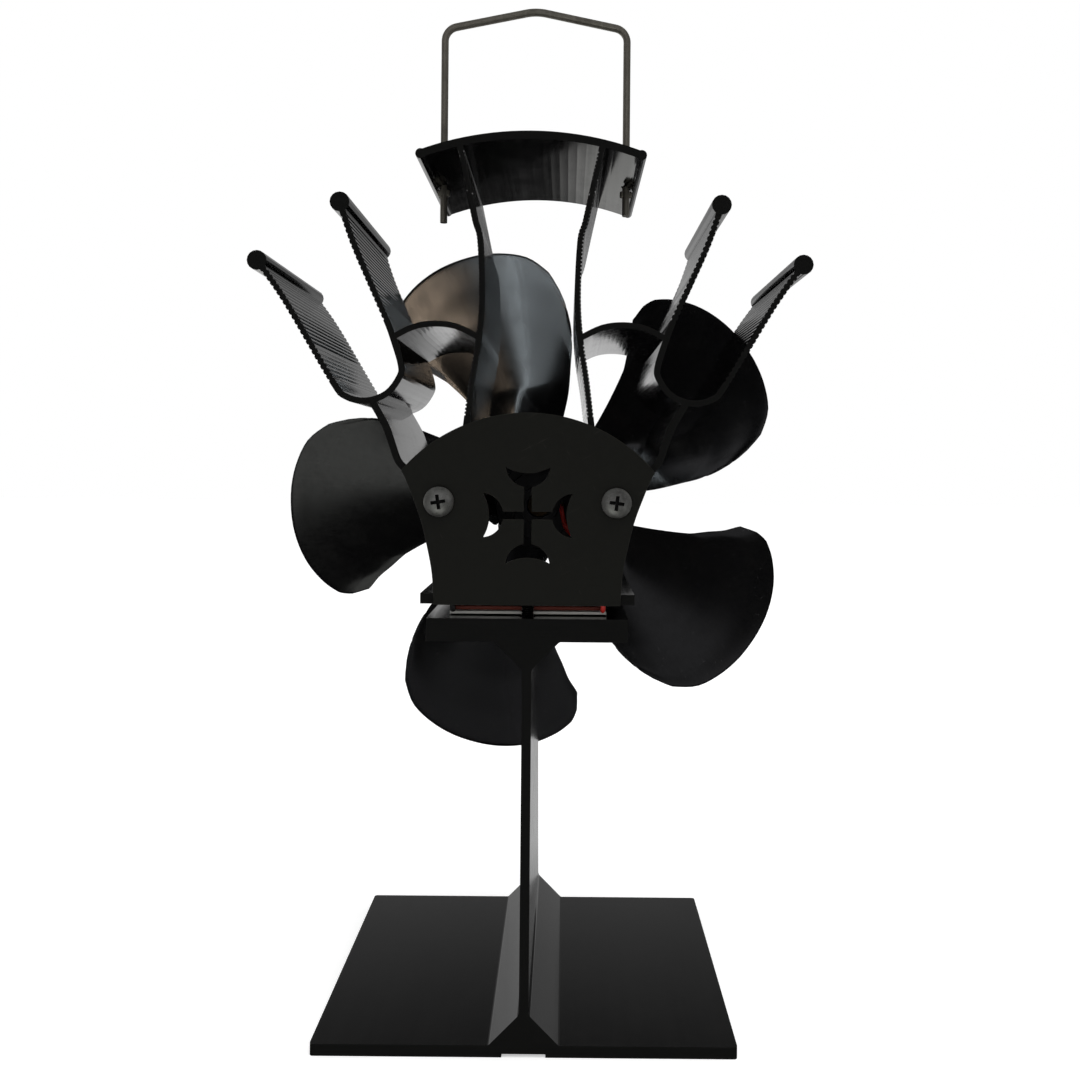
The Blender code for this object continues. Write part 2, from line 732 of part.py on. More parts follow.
def cross_outline():
    """The cross with crescent ends, centred on the cover plate's ornament height."""
    loop = []
    reaches = (CROSS_UP_REACH, CROSS_SIDE_REACH, CROSS_UP_REACH, CROSS_SIDE_REACH)
    for turn, reach in enumerate(reaches):
        right = crescent_arm(reach)
        left = [(-x, z) for x, z in right[:-1]]
        arm = left + list(reversed(right))
        angle = -turn * math.pi / 2
        for x, z in arm:
            across = x * math.cos(angle) - z * math.sin(angle)
            up = x * math.sin(angle) + z * math.cos(angle)
            loop.append((across, SINK_FOOT_Z + CROSS_HEIGHT + up))
    return loop


def cover_outline():
    """The cover's edge: it follows the chamber's walls and its arched top."""
    centre, radius = vault_circle()
    edge = side_of(sink_path(WALL_SHARES), -WALL_THICKNESS / 2)
    right = [point for point in edge if (point - centre).length < radius]
    corner = right[-1] - centre
    start = math.atan2(corner.y, corner.x)
    right = [Vector((right[0].x, SINK_FOOT_Z))] + right
    right += arc(centre, radius, start, math.pi / 2, ROUND_STEPS // 2)[1:]
    return right + [Vector((-point.x, point.y)) for point in reversed(right[:-1])]


def build_cover():
    """The plate over the motor chamber with its ornament and its two screws."""
    far = NEAR_FACE_Y - GAP
    near = far - COVER_THICKNESS
    hole_z = SINK_FOOT_Z + COVER_SCREW_HEIGHT
    loops = [cover_outline(), cross_outline()]
    for side in (-1, 1):
        loops.append(circle((side * COVER_SCREW_SPACING / 2, hole_z), SCREW_RADIUS + GAP))
    dress(plate("cover_plate", loops, near, far), (0.020, 0.020, 0.017), 0.5, 0.5)
    for side, word in ((-1, "left"), (1, "right")):
        place = Matrix.Translation((side * COVER_SCREW_SPACING / 2, near - GAP, hole_z))
        build_screw("cover_screw_" + word, place @ ALONG_NEAR)


def build_screw(name, place):
    """A pan-head screw with a cross recess; its head stands up from the local XY plane."""
    head = SCREW_HEAD_RADIUS
    rim = SCREW_HEAD_HEIGHT / 3
    crown = [(0, SCREW_HEAD_HEIGHT)]
    for step in range(1, PATH_STEPS + 1):
        angle = math.pi / 2 * step / PATH_STEPS
        rise = (SCREW_HEAD_HEIGHT - rim) * math.cos(angle)
        crown.append((head * math.sin(angle), rim + rise))
    profile = crown + [
        (head, 0),
        (SCREW_RADIUS, 0),
        (SCREW_RADIUS, SCREW_RADIUS - SCREW_LENGTH),
        (0, -SCREW_LENGTH),
    ]
    screw = solid_turned(name, profile, place)
    low = SCREW_HEAD_HEIGHT - RECESS_DEPTH
    high = SCREW_HEAD_HEIGHT + OVERRUN
    long = RECESS_SPAN / 2
    short = RECESS_WIDTH / 2
    upright = block("recess_cutter", (-short, -long, low), (short, long, high), place)
    level = block("recess_cutter", (-long, -short, low), (long, short, high), place)
    screw = cut(cut(screw, upright), level)
    return dress(screw, (0.45, 0.45, 0.44), 0.35, 0.9)


# Clamp screws

def build_clamps():
    """Two socket screws and washers that pull the sink down on the module."""
    washer_z = SINK_FLOOR_Z + GAP
    head_z = washer_z + CLAMP_WASHER_THICKNESS + GAP
    top_z = head_z + CLAMP_HEAD_HEIGHT
    for y, word in zip(clamp_places(), ("near", "far")):
        place = Matrix.Translation((0, y, 0))
        bore = CLAMP_SCREW_RADIUS + GAP
        washer_top = washer_z + CLAMP_WASHER_THICKNESS
        washer = ring("clamp_washer_" + word, bore, CLAMP_HEAD_RADIUS, washer_z, washer_top, place)
        dress(washer, (0.5, 0.5, 0.5), 0.35, 1.0)
        profile = (
            (0, top_z - CLAMP_SOCKET_DEPTH),
            (CLAMP_SOCKET_RADIUS, top_z - CLAMP_SOCKET_DEPTH),
            (CLAMP_SOCKET_RADIUS, top_z),
            (CLAMP_HEAD_RADIUS, top_z),
            (CLAMP_HEAD_RADIUS, head_z),
            (CLAMP_SCREW_RADIUS, head_z),
            (CLAMP_SCREW_RADIUS, STAND_HEIGHT - CLAMP_GRIP),
            (0, STAND_HEIGHT - CLAMP_GRIP),
        )
        screw = solid_turned("clamp_screw_" + word, profile, place)
        dress(screw, (0.35, 0.35, 0.35), 0.4, 1.0)


# Motor

def on_axis(y):
    """A place on the motor's axis, with local Z along the axis towards the wheel."""
    return Matrix.Translation((AXIS_X, y, AXIS_Z)) @ ALONG_FAR


def build_motor_case():
    """The can, its plastic end cap, bushes, magnets, brushes and terminals."""
    place = on_axis(0)
    front = MOTOR_FRONT_Y
    inner = MOTOR_RADIUS - MOTOR_WALL
    profile = (
        (BUSH_RADIUS + GAP, front),
        (MOTOR_RADIUS, front),
        (MOTOR_RADIUS, MOTOR_REAR_Y),
        (inner, MOTOR_REAR_Y),
        (inner, front - MOTOR_WALL),
        (BUSH_RADIUS + GAP, front - MOTOR_WALL),
    )
    case = turned("motor_case", profile, place)
    for x in motor_screw_places():
        hole = Matrix.Translation((x, 0, AXIS_Z)) @ ALONG_FAR
        low = front - MOTOR_WALL - OVERRUN
        case = cut(case, rod("hole_cutter", MOTOR_SCREW_RADIUS + GAP, low, front + OVERRUN, hole))
    dress(case, (0.55, 0.55, 0.53), 0.3, 1.0)

    cap_far = MOTOR_REAR_Y - GAP
    cap_near = cap_far - END_CAP_THICKNESS
    profile = (
        (BUSH_RADIUS + GAP, SPIGOT_Y),
        (inner - GAP, SPIGOT_Y),
        (inner - GAP, cap_far),
        (MOTOR_RADIUS, cap_far),
        (MOTOR_RADIUS, cap_near),
        (BUSH_RADIUS + GAP, cap_near),
    )
    dress(turned("motor_end_cap", profile, place), (0.05, 0.05, 0.06), 0.5, 0.0)

    rear = cap_near + GAP
    rear_bush = ring("motor_rear_bush", SHAFT_BORE_RADIUS, BUSH_RADIUS, rear, rear + REAR_BUSH_LENGTH, place)
    dress(rear_bush, (0.55, 0.38, 0.14), 0.35, 1.0)
    bush_far = BRACKET_Y + BRACKET_THICKNESS
    bush_near = bush_far - FRONT_BUSH_LENGTH
    front_bush = ring("motor_front_bush", SHAFT_BORE_RADIUS, BUSH_RADIUS, bush_near, bush_far, place)
    dress(front_bush, (0.55, 0.38, 0.14), 0.35, 1.0)

    middle = (SPIGOT_Y + front - MOTOR_WALL) / 2
    for turn, word in ((0, "right"), (math.pi, "left")):
        start = turn - MAGNET_HALF_ANGLE
        end = turn + MAGNET_HALF_ANGLE
        outside = arc((AXIS_X, AXIS_Z), inner - GAP, start, end, SMALL_ROUND_STEPS)
        inside = arc((AXIS_X, AXIS_Z), inner - GAP - MAGNET_THICKNESS, end, start, SMALL_ROUND_STEPS)
        low = middle - MAGNET_LENGTH / 2
        magnet = plate("motor_magnet_" + word, [outside + inside], low, low + MAGNET_LENGTH)
        dress(magnet, (0.06, 0.06, 0.06), 0.6, 0.2)

    brush_low = COMMUTATOR_RADIUS + GAP
    for side, word in ((-1, "left"), (1, "right")):
        ends = sorted((AXIS_X + side * brush_low, AXIS_X + side * (brush_low + BRUSH_LENGTH)))
        low = (ends[0], COMMUTATOR_Y, AXIS_Z - BRUSH_WIDTH / 2)
        high = (ends[1], COMMUTATOR_Y + BRUSH_WIDTH, AXIS_Z + BRUSH_WIDTH / 2)
        dress(block("motor_brush_" + word, low, high), (0.5, 0.28, 0.12), 0.4, 0.9)
        x = AXIS_X + side * TERMINAL_SPACING / 2
        tab_far = cap_near - GAP
        low = (x - TERMINAL_THICKNESS / 2, tab_far - TERMINAL_LENGTH, AXIS_Z - TERMINAL_WIDTH / 2)
        high = (x + TERMINAL_THICKNESS / 2, tab_far, AXIS_Z + TERMINAL_WIDTH / 2)
        dress(block("motor_terminal_" + word, low, high), (0.7, 0.6, 0.35), 0.3, 1.0)


def motor_screw_places():
    """Sideways places of the screws between bracket and motor."""
    return (AXIS_X - MOTOR_SCREW_SPACING / 2, AXIS_X + MOTOR_SCREW_SPACING / 2)


def build_armature():
    """The turning inside of the motor: core, coils and commutator on the shaft."""
    core_near = COMMUTATOR_Y + COMMUTATOR_LENGTH + GAP + COIL_THICKNESS + COIL_CLEARANCE
    core_far = core_near + ARMATURE_LENGTH
    place = on_axis(0)
    core = ring("motor_armature", SHAFT_BORE_RADIUS, ARMATURE_HUB_RADIUS, core_near, core_far, place)
    shoe_inner = ARMATURE_RADIUS - POLE_SHOE_THICKNESS
    for pole in range(POLE_COUNT):
        turn = math.pi / 2 + math.tau * pole / POLE_COUNT
        out = Vector((math.cos(turn), math.sin(turn)))
        axis = Vector((AXIS_X, AXIS_Z))
        arm_start = axis + out * (SHAFT_BORE_RADIUS + ARMATURE_HUB_RADIUS) / 2
        arm_end = axis + out * (shoe_inner + POLE_SHOE_THICKNESS / 2)
        arm = strip([arm_start, arm_end], POLE_ARM_WIDTH)
        core = join(core, slab("arm", arm, core_near + POLE_STEP, core_far - POLE_STEP))
        start = turn - POLE_SHOE_HALF_ANGLE
        end = turn + POLE_SHOE_HALF_ANGLE
        outside = arc(axis, ARMATURE_RADIUS, start, end, PATH_STEPS * 2)
        inside = arc(axis, shoe_inner, end, start, PATH_STEPS * 2)
        shoe = slab("shoe", outside + inside, core_near + 2 * POLE_STEP, core_far - 2 * POLE_STEP)
        core = join(core, shoe)
        build_coil("motor_coil_" + "abc"[pole], turn, core_near, core_far, shoe_inner)
    dress(core, (0.3, 0.3, 0.32), 0.4, 1.0)
    high = COMMUTATOR_Y + COMMUTATOR_LENGTH
    commutator = ring("motor_commutator", SHAFT_BORE_RADIUS, COMMUTATOR_RADIUS, COMMUTATOR_Y, high, place)
    dress(commutator, (0.7, 0.35, 0.18), 0.3, 1.0)


def build_coil(name, turn, core_near, core_far, shoe_inner):
    """One coil: a flat ring of wire round a pole's arm."""
    place = Matrix.Translation((AXIS_X, 0, AXIS_Z)) @ Matrix.Rotation(-turn, 4, "Y")
    inner = POLE_ARM_WIDTH / 2 + COIL_CLEARANCE
    outer = inner + COIL_THICKNESS
    near = core_near - COIL_CLEARANCE
    far = core_far + COIL_CLEARANCE
    start = ARMATURE_HUB_RADIUS + 2 * GAP
    end = math.sqrt(shoe_inner ** 2 - outer ** 2) - 2 * GAP
    low = (start, near - COIL_THICKNESS, -outer)
    coil = block(name, low, (end, far + COIL_THICKNESS, outer), place)
    hollow_low = (start - OVERRUN, near, -inner)
    coil = cut(coil, block("coil_cutter", hollow_low, (end + OVERRUN, far, inner), place))
    return dress(coil, (0.6, 0.25, 0.08), 0.35, 0.9)


# Motor bracket

def build_bracket():
    """A flat bar across the far end of the chamber, which carries the motor."""
    screw_z = SINK_FOOT_Z + COVER_SCREW_HEIGHT
    half = BRACKET_LENGTH / 2
    low = screw_z - BRACKET_WIDTH / 2
    high = screw_z + BRACKET_WIDTH / 2
    loops = [
        [(-half, low), (half, low), (half, high), (-half, high)],
        circle((AXIS_X, AXIS_Z), BUSH_RADIUS + GAP),
    ]
    for x in motor_screw_places():
        loops.append(circle((x, AXIS_Z), MOTOR_SCREW_RADIUS + GAP))
    for side in (-1, 1):
        loops.append(circle((side * COVER_SCREW_SPACING / 2, screw_z), SCREW_RADIUS + GAP))
    far = BRACKET_Y + BRACKET_THICKNESS
    dress(plate("motor_bracket", loops, BRACKET_Y, far), (0.5, 0.5, 0.5), 0.35, 1.0)
    for side, word in ((-1, "left"), (1, "right")):
        place = Matrix.Translation((side * COVER_SCREW_SPACING / 2, far + GAP, screw_z))
        build_screw("bracket_screw_" + word, place @ ALONG_FAR)
    for x, word in zip(motor_screw_places(), ("left", "right")):
        place = Matrix.Translation((x, far + GAP, AXIS_Z)) @ ALONG_FAR
        profile = (
            (0, MOTOR_SCREW_HEAD_HEIGHT),
            (MOTOR_SCREW_HEAD_RADIUS, MOTOR_SCREW_HEAD_HEIGHT),
            (MOTOR_SCREW_HEAD_RADIUS, 0),
            (MOTOR_SCREW_RADIUS, 0),
            (MOTOR_SCREW_RADIUS, -MOTOR_SCREW_LENGTH),
            (0, -MOTOR_SCREW_LENGTH),
        )
        screw = solid_turned("motor_screw_" + word, profile, place, SMALL_ROUND_STEPS)
        dress(screw, (0.45, 0.45, 0.44), 0.35, 0.9)


# Leads

def build_leads():
    """Red and black leads from the module, up past the sink's floor, to the motor's terminals."""
    module_near = SINK_MIDDLE_Y - MODULE_SIDE / 2
    seal_z = STAND_HEIGHT + 2 * GAP + CERAMIC_THICKNESS + PELLET_HEIGHT / 2
    tab_near = MOTOR_REAR_Y - 2 * GAP - END_CAP_THICKNESS - TERMINAL_LENGTH
    notch_y = NEAR_FACE_Y + LEAD_NOTCH_DEPTH / 2
    end_y = tab_near - GAP
    leads = ((1, "red_lead", (0.55, 0.02, 0.015), 0.55), (-1, "black_lead", (0.01, 0.01, 0.01), 0.25))
    for side, name, colour, rise_share in leads:
        start_x = side * LEAD_SPACING / 2
        end_x = AXIS_X + side * TERMINAL_SPACING / 2
        climb = AXIS_Z - SINK_FLOOR_Z
        route = [
            (start_x, module_near - GAP, seal_z),
            (start_x, notch_y + LEAD_RADIUS * 2, seal_z),
            (start_x, notch_y, seal_z + LEAD_RADIUS * 2),
            (start_x, notch_y, SINK_FLOOR_Z),
            (start_x * 0.93, notch_y + LEAD_RADIUS * 3, SINK_FLOOR_Z + LEAD_RADIUS * 5),
            ((start_x + end_x) / 2, (notch_y + end_y) / 2, SINK_FLOOR_Z + climb * rise_share),
            (end_x + side * LEAD_RADIUS * 2, end_y - LEAD_RADIUS * 5, AXIS_Z - LEAD_RADIUS * 9),
            (end_x, end_y - LEAD_RADIUS * 5, AXIS_Z - LEAD_RADIUS * 2),
            (end_x, end_y, AXIS_Z),
        ]
        lead = tube(name, smooth_path(route, PATH_STEPS), LEAD_RADIUS, 1)
        dress(lead, colour, 0.45, 0.0)


# Rotor

def blade_offset(radius, share, turn):
    """How far a point of the blade stands behind the disc, given its turn from the blade's middle."""
    reach = (radius - WHEEL_DISC_RADIUS) / (BLADE_TWIST_END_SHARE * ROTOR_RADIUS - WHEEL_DISC_RADIUS)
    reach = min(1, max(0, reach))
    ease = reach * reach * (3 - 2 * reach)
    pitch = radius * math.sin(turn) * math.tan(BLADE_PITCH)
    camber = BLADE_CAMBER * (1 - (2 * share - 1) ** 2)
    return ease * (pitch - camber)


def blade_point(span, share):
    """Angle in radians, radius and depth offset of a point of one blade."""
    pitch = math.tau / BLADE_COUNT
    lead = lookup(LEADING_EDGE_SHARES, span)
    trail = lookup(TRAILING_EDGE_SHARES, span)
    place = lead + (trail - lead) * share
    tip_first = TIP_SHARES[0][0]
    tip_last = TIP_SHARES[-1][0]
    tip = lookup(TIP_SHARES, tip_first + (tip_last - tip_first) * share) * ROTOR_RADIUS
    radius = WHEEL_DISC_RADIUS + span * (tip - WHEEL_DISC_RADIUS)
    turn = (place - (lead + trail) / 2) * pitch
    return place * pitch, radius, blade_offset(radius, share, turn)


def chord_share(place):
    """Where a column of the blade lies between its edges, closer together towards both."""
    return (1 - math.cos(math.pi * place / BLADE_CHORD_STEPS)) / 2


def build_wheel():
    """The fan wheel: a disc and its blades pressed from one sheet."""
    mesh = bpy.data.meshes.new("fan_wheel")
    shape = bmesh.new()
    pitch = math.tau / BLADE_COUNT

    def vertex(angle, radius, offset):
        return shape.verts.new((radius * math.cos(angle), offset, radius * math.sin(angle)))

    rim = []
    angles = []
    for blade in range(BLADE_COUNT):
        rows = []
        for step in range(BLADE_SPAN_STEPS + 1):
            span = step / BLADE_SPAN_STEPS
            row = []
            for place in range(BLADE_CHORD_STEPS + 1):
                share = chord_share(place)
                angle, radius, offset = blade_point(span, share)
                row.append(vertex(angle + blade * pitch, radius, offset))
            rows.append(row)
        for low, high in zip(rows, rows[1:]):
            for place in range(BLADE_CHORD_STEPS):
                shape.faces.new((low[place], low[place + 1], high[place + 1], high[place]))
        first = LEADING_EDGE_SHARES[0][1] * pitch
        last = TRAILING_EDGE_SHARES[0][1] * pitch
        for place, root in enumerate(rows[0]):
            rim.append(root)
            angles.append(first + (last - first) * chord_share(place) + blade * pitch)
        for step in range(1, DISC_GAP_STEPS):
            angle = last + (pitch - last + first) * step / DISC_GAP_STEPS + blade * pitch
            rim.append(vertex(angle, WHEEL_DISC_RADIUS, 0))
            angles.append(angle)
    bore = [vertex(angle, WHEEL_BORE_RADIUS, 0) for angle in angles]
    for index in range(len(rim)):
        after = (index + 1) % len(rim)
        shape.faces.new((bore[index], bore[after], rim[after], rim[index]))
    bmesh.ops.recalc_face_normals(shape, faces=shape.faces)
    shape.to_mesh(mesh)
    shape.free()
    wheel = add_object("fan_wheel", mesh, Matrix.Translation((AXIS_X, WHEEL_Y, AXIS_Z)))
    sheet = wheel.modifiers.new("sheet", "SOLIDIFY")
    sheet.thickness = BLADE_THICKNESS
    sheet.offset = 0
    return dress(bake(wheel), (0.012, 0.012, 0.012), 0.3, 0.5)


def build_hub():
    """Shaft, hub, clamping cap and set screw, all turning with the wheel."""
    spigot = WHEEL_BORE_RADIUS - GAP
    flange_far = WHEEL_Y - BLADE_THICKNESS / 2 - GAP
    flange_near = flange_far - HUB_FLANGE_THICKNESS
    boss_near = flange_near - HUB_BOSS_LENGTH
    spigot_far = flange_far + BLADE_THICKNESS + GAP + HUB_SPIGOT_LENGTH
    place = on_axis(0)
    profile = (
        (SHAFT_BORE_RADIUS, spigot_far),
        (spigot, spigot_far),
        (spigot, flange_far),
        (HUB_FLANGE_RADIUS, flange_far),
        (HUB_FLANGE_RADIUS, flange_near),
        (HUB_BOSS_RADIUS, flange_near),
        (HUB_BOSS_RADIUS, boss_near),
        (SHAFT_BORE_RADIUS, boss_near),
    )
    hub = turned("fan_hub", profile, place)
    across = Matrix.Translation((AXIS_X, boss_near + HUB_BOSS_LENGTH / 2, AXIS_Z))
    hub = cut(hub, rod("hole_cutter", SET_SCREW_RADIUS + GAP, 0, HUB_BOSS_RADIUS + OVERRUN, across))
    dress(hub, (0.02, 0.02, 0.02), 0.35, 0.6)
    set_low = SHAFT_RADIUS + GAP
    set_screw = rod("hub_set_screw", SET_SCREW_RADIUS, set_low, HUB_BOSS_RADIUS - GAP, across)
    dress(set_screw, (0.3, 0.3, 0.3), 0.4, 1.0)

    cap_near = WHEEL_Y + BLADE_THICKNESS / 2 + GAP
    cap_far = cap_near + CAP_LENGTH
    shaft_far = spigot_far + SHAFT_PAST_SPIGOT
    dome = []
    for step in range(PATH_STEPS + 2):
        angle = math.pi / 2 * step / (PATH_STEPS + 1)
        rise = (CAP_LENGTH - CAP_WALL) * math.cos(angle)
        dome.append((CAP_RADIUS * math.sin(angle), cap_far - CAP_LENGTH + CAP_WALL + rise))
    profile = dome + [
        (CAP_RADIUS, cap_near),
        (WHEEL_BORE_RADIUS, cap_near),
        (WHEEL_BORE_RADIUS, spigot_far + GAP),
        (SHAFT_BORE_RADIUS, spigot_far + GAP),
        (SHAFT_BORE_RADIUS, shaft_far + GAP),
        (0, shaft_far + GAP),
    ]
    dress(solid_turned("hub_cap", profile, place), (0.02, 0.02, 0.02), 0.35, 0.6)

    shaft = rod("motor_shaft", SHAFT_RADIUS, MOTOR_REAR_Y - END_CAP_THICKNESS, shaft_far, place)
    dress(shaft, (0.6, 0.6, 0.6), 0.2, 1.0)


# Handle

def bend(corner, before, after, radius):
    """Points round a corner of the wire, between the runs that come from and go to other points."""
    back = (before - corner).normalized()
    ahead = (after - corner).normalized()
    half = back.angle(ahead) / 2
    centre = corner + (back + ahead).normalized() * radius / math.sin(half)
    start = corner + back * radius / math.tan(half) - centre
    end = corner + ahead * radius / math.tan(half) - centre
    points = []
    for step in range(PATH_STEPS + 1):
        share = step / PATH_STEPS
        points.append(centre + (start * (1 - share) + end * share).normalized() * radius)
    return points


def build_handle():
    """The wire bail with its pressed ears, which stop it under the sink's top plate."""
    half = HANDLE_LEG_SPACING / 2
    right_foot = Vector((half, SINK_TOP_Z - HANDLE_RIGHT_DROP))
    right = Vector((half, HANDLE_SHOULDER_Z))
    ridge = Vector((0, HANDLE_SHOULDER_Z + HANDLE_RISE))
    left = Vector((-half, HANDLE_SHOULDER_Z))
    left_foot = Vector((-half, SINK_TOP_Z - HANDLE_LEFT_DROP))
    line = [right_foot]
    line += bend(right, right_foot, ridge, HANDLE_BEND_RADIUS)
    line += bend(ridge, right, left, HANDLE_RIDGE_RADIUS)
    line += bend(left, ridge, left_foot, HANDLE_BEND_RADIUS)
    line += [left_foot]
    points = [(point.x, SINK_MIDDLE_Y, point.y) for point in line]
    handle = tube("carry_handle", points, HANDLE_WIRE_RADIUS)
    crown_centre, crown_radius = crown_circle()
    under = crown_centre.y + math.sqrt((crown_radius - CROWN_THICKNESS) ** 2 - (half + EAR_SPREAD) ** 2)
    ear_top = under - GAP
    for side in (-1, 1):
        x = side * half
        low = (x - EAR_SPREAD, SINK_MIDDLE_Y - EAR_THICKNESS / 2, ear_top - EAR_LENGTH)
        high = (x + EAR_SPREAD, SINK_MIDDLE_Y + EAR_THICKNESS / 2, ear_top)
        handle = join(handle, block("ear", low, high))
    return dress(handle, (0.42, 0.40, 0.36), 0.3, 1.0)


# Joints

def hang(axis_name, place, pieces):
    """Parent pieces to an empty on the joint that they move on, and leave them where they are."""
    axis = bpy.data.objects.new(axis_name, None)
    PARTS.objects.link(axis)
    axis.matrix_world = Matrix.Translation(place)
    bpy.context.view_layer.update()
    for name in pieces:
        piece = bpy.data.objects[name]
        piece.parent = axis
        piece.matrix_parent_inverse = axis.matrix_world.inverted()


# Build

clear_scene()
PARTS = add_collection("stove_fan")
build_stand()
build_module()
build_sink()
build_cover()
build_clamps()
build_motor_case()
build_armature()
build_bracket()
build_leads()
build_wheel()
build_hub()
build_handle()
hang("fan_axis", (AXIS_X, WHEEL_Y, AXIS_Z), ROTOR_PIECES)
hang("handle_axis", (0, SINK_MIDDLE_Y, HANDLE_SHOULDER_Z), ("carry_handle",))
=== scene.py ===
"""Looks of the stove fan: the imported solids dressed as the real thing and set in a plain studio.

Each sub-assembly is a class that holds its sizes, models its pieces with Blender's own operators and
gives them their finish. Places and sizes repeat those of the solids, in metres, in the same frame:
+Z up, +Y the way the air is blown, +X to the right as seen from the cover plate.
"""

import logging
import math
from contextlib import contextmanager
from dataclasses import dataclass
from enum import Enum
from typing import Callable, Iterator, Sequence

import bpy
from mathutils import Euler, Matrix, Vector


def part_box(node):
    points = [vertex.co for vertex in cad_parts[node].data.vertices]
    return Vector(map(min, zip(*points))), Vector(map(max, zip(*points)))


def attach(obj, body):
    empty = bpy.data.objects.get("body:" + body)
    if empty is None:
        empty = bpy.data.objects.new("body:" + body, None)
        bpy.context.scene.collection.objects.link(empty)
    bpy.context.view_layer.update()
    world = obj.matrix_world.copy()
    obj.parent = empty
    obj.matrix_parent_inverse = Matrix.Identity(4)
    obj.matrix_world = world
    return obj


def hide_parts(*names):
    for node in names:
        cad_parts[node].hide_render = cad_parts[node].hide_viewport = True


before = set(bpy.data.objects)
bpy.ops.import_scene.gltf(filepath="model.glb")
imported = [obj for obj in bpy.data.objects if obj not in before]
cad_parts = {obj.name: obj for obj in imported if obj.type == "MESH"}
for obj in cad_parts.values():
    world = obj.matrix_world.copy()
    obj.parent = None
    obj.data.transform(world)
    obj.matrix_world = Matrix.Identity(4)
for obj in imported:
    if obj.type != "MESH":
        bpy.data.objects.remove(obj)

LOG = logging.getLogger("stove_fan")

MM = 0.001
TINY = 0.0005 * MM
GAP = 0.3 * MM
OVERRUN = 2.0 * MM
NEAR_FACE_Y = -38.5 * MM
STAND_TOP_Z = 109.7 * MM
SINK_FOOT_Z = 113.3 * MM
SINK_FLOOR_Z = 115.9 * MM
SINK_HEIGHT = 118.5 * MM
SINK_HALF_WIDTH = 68.4 * MM
SINK_TOP_Z = SINK_FOOT_Z + SINK_HEIGHT
SINK_FAR_Y = 11.5 * MM
SINK_MIDDLE_Y = -13.5 * MM
AXIS_X = 2.0 * MM
AXIS_Z = 137.0 * MM
WHEEL_Y = 32.5 * MM
COVER_SCREW_X = 22.0 * MM
COVER_SCREW_Z = 138.9 * MM
CLAMP_YS = (-35.5 * MM, 8.5 * MM)
FREE_HOLE_RADIUS = 1.9 * MM
MOTOR_SCREW_HOLE_RADIUS = 1.4 * MM
BUSH_RADIUS = 3.3 * MM
TERMINAL_SPACING = 13.0 * MM
SIDES = ((-1, "left"), (1, "right"))

Pair = tuple[float, float]
Triple = tuple[float, float, float]
Colour = Triple
Rows = tuple[Pair, ...]
Thing = bpy.types.Object
Socket = bpy.types.NodeSocket
Sockets = bpy.types.NodeOutputs
Test = Callable[[Vector, Vector], bool]


class Body(Enum):
    """The bodies that pieces ride on."""

    FRAME = "frame"
    ROTOR = "rotor"
    HANDLE = "handle"


class Facing(Enum):
    """Which way the end of a turned piece looks; its value turns local +Z that way."""

    NEAR = Matrix.Rotation(math.radians(90), 4, "X")
    FAR = Matrix.Rotation(math.radians(-90), 4, "X")


# Modelling, as done by hand


def deselect() -> None:
    """Leave edit mode, let go of everything and select by points again."""
    if bpy.context.object and bpy.context.object.mode != "OBJECT":
        bpy.ops.object.mode_set(mode="OBJECT")
    bpy.ops.object.select_all(action="DESELECT")
    bpy.context.tool_settings.mesh_select_mode = (True, False, False)


def hold(piece: Thing) -> None:
    """Select one piece alone and make it the active one."""
    deselect()
    piece.select_set(True)
    bpy.context.view_layer.objects.active = piece


def settle(piece: Thing) -> None:
    """Put the piece's place, turn and size into its mesh."""
    hold(piece)
    bpy.ops.object.transform_apply(location=True, rotation=True, scale=True)


@contextmanager
def editing(piece: Thing) -> Iterator[None]:
    """Work on a piece in edit mode with all of it selected."""
    hold(piece)
    bpy.ops.object.mode_set(mode="EDIT")
    bpy.ops.mesh.select_all(action="SELECT")
    yield
    bpy.ops.object.mode_set(mode="OBJECT")


def close_up(piece: Thing, angle: float = 32.0) -> Thing:
    """Merge doubles, turn the faces outwards and smooth the gentle edges.

    Args:
        piece: The piece to close.
        angle: Edges sharper than this, in degrees, stay sharp.

    Returns:
        The same piece.
    """
    with editing(piece):
        bpy.ops.mesh.remove_doubles(threshold=TINY)
        bpy.ops.mesh.dissolve_degenerate(threshold=TINY)
        bpy.ops.mesh.normals_make_consistent(inside=False)
    bpy.ops.object.shade_smooth_by_angle(angle=math.radians(angle))
    return piece


def even_out(piece: Thing) -> Thing:
    """Let broad flat faces keep their own direction beside rounded edges."""
    use(piece, "WEIGHTED_NORMAL", keep_sharp=True)
    return piece


def let_go(piece: Thing, by_edges: bool) -> bpy.types.Mesh:
    """Hold a piece with nothing in its mesh selected, ready to pick its edges or its faces."""
    hold(piece)
    mesh = piece.data
    bpy.context.tool_settings.mesh_select_mode = (False, by_edges, not by_edges)
    for part in (mesh.vertices, mesh.edges, mesh.polygons):
        part.foreach_set("select", [False] * len(part))
    return mesh


def select_edges(piece: Thing, test: Test) -> None:
    """Open a piece in edit mode with some edges selected.

    Args:
        piece: The piece to open.
        test: Takes both ends of an edge and says whether it is wanted.
    """
    mesh = let_go(piece, True)
    for edge in mesh.edges:
        edge.select = test(*(mesh.vertices[index].co for index in edge.vertices))
    bpy.ops.object.mode_set(mode="EDIT")


def select_faces(piece: Thing, test: Test) -> None:
    """Open a piece in edit mode with some faces selected.

    Args:
        piece: The piece to open.
        test: Takes a face's middle and normal and says whether it is wanted.
    """
    for face in let_go(piece, False).polygons:
        face.select = test(face.center, face.normal)
    bpy.ops.object.mode_set(mode="EDIT")


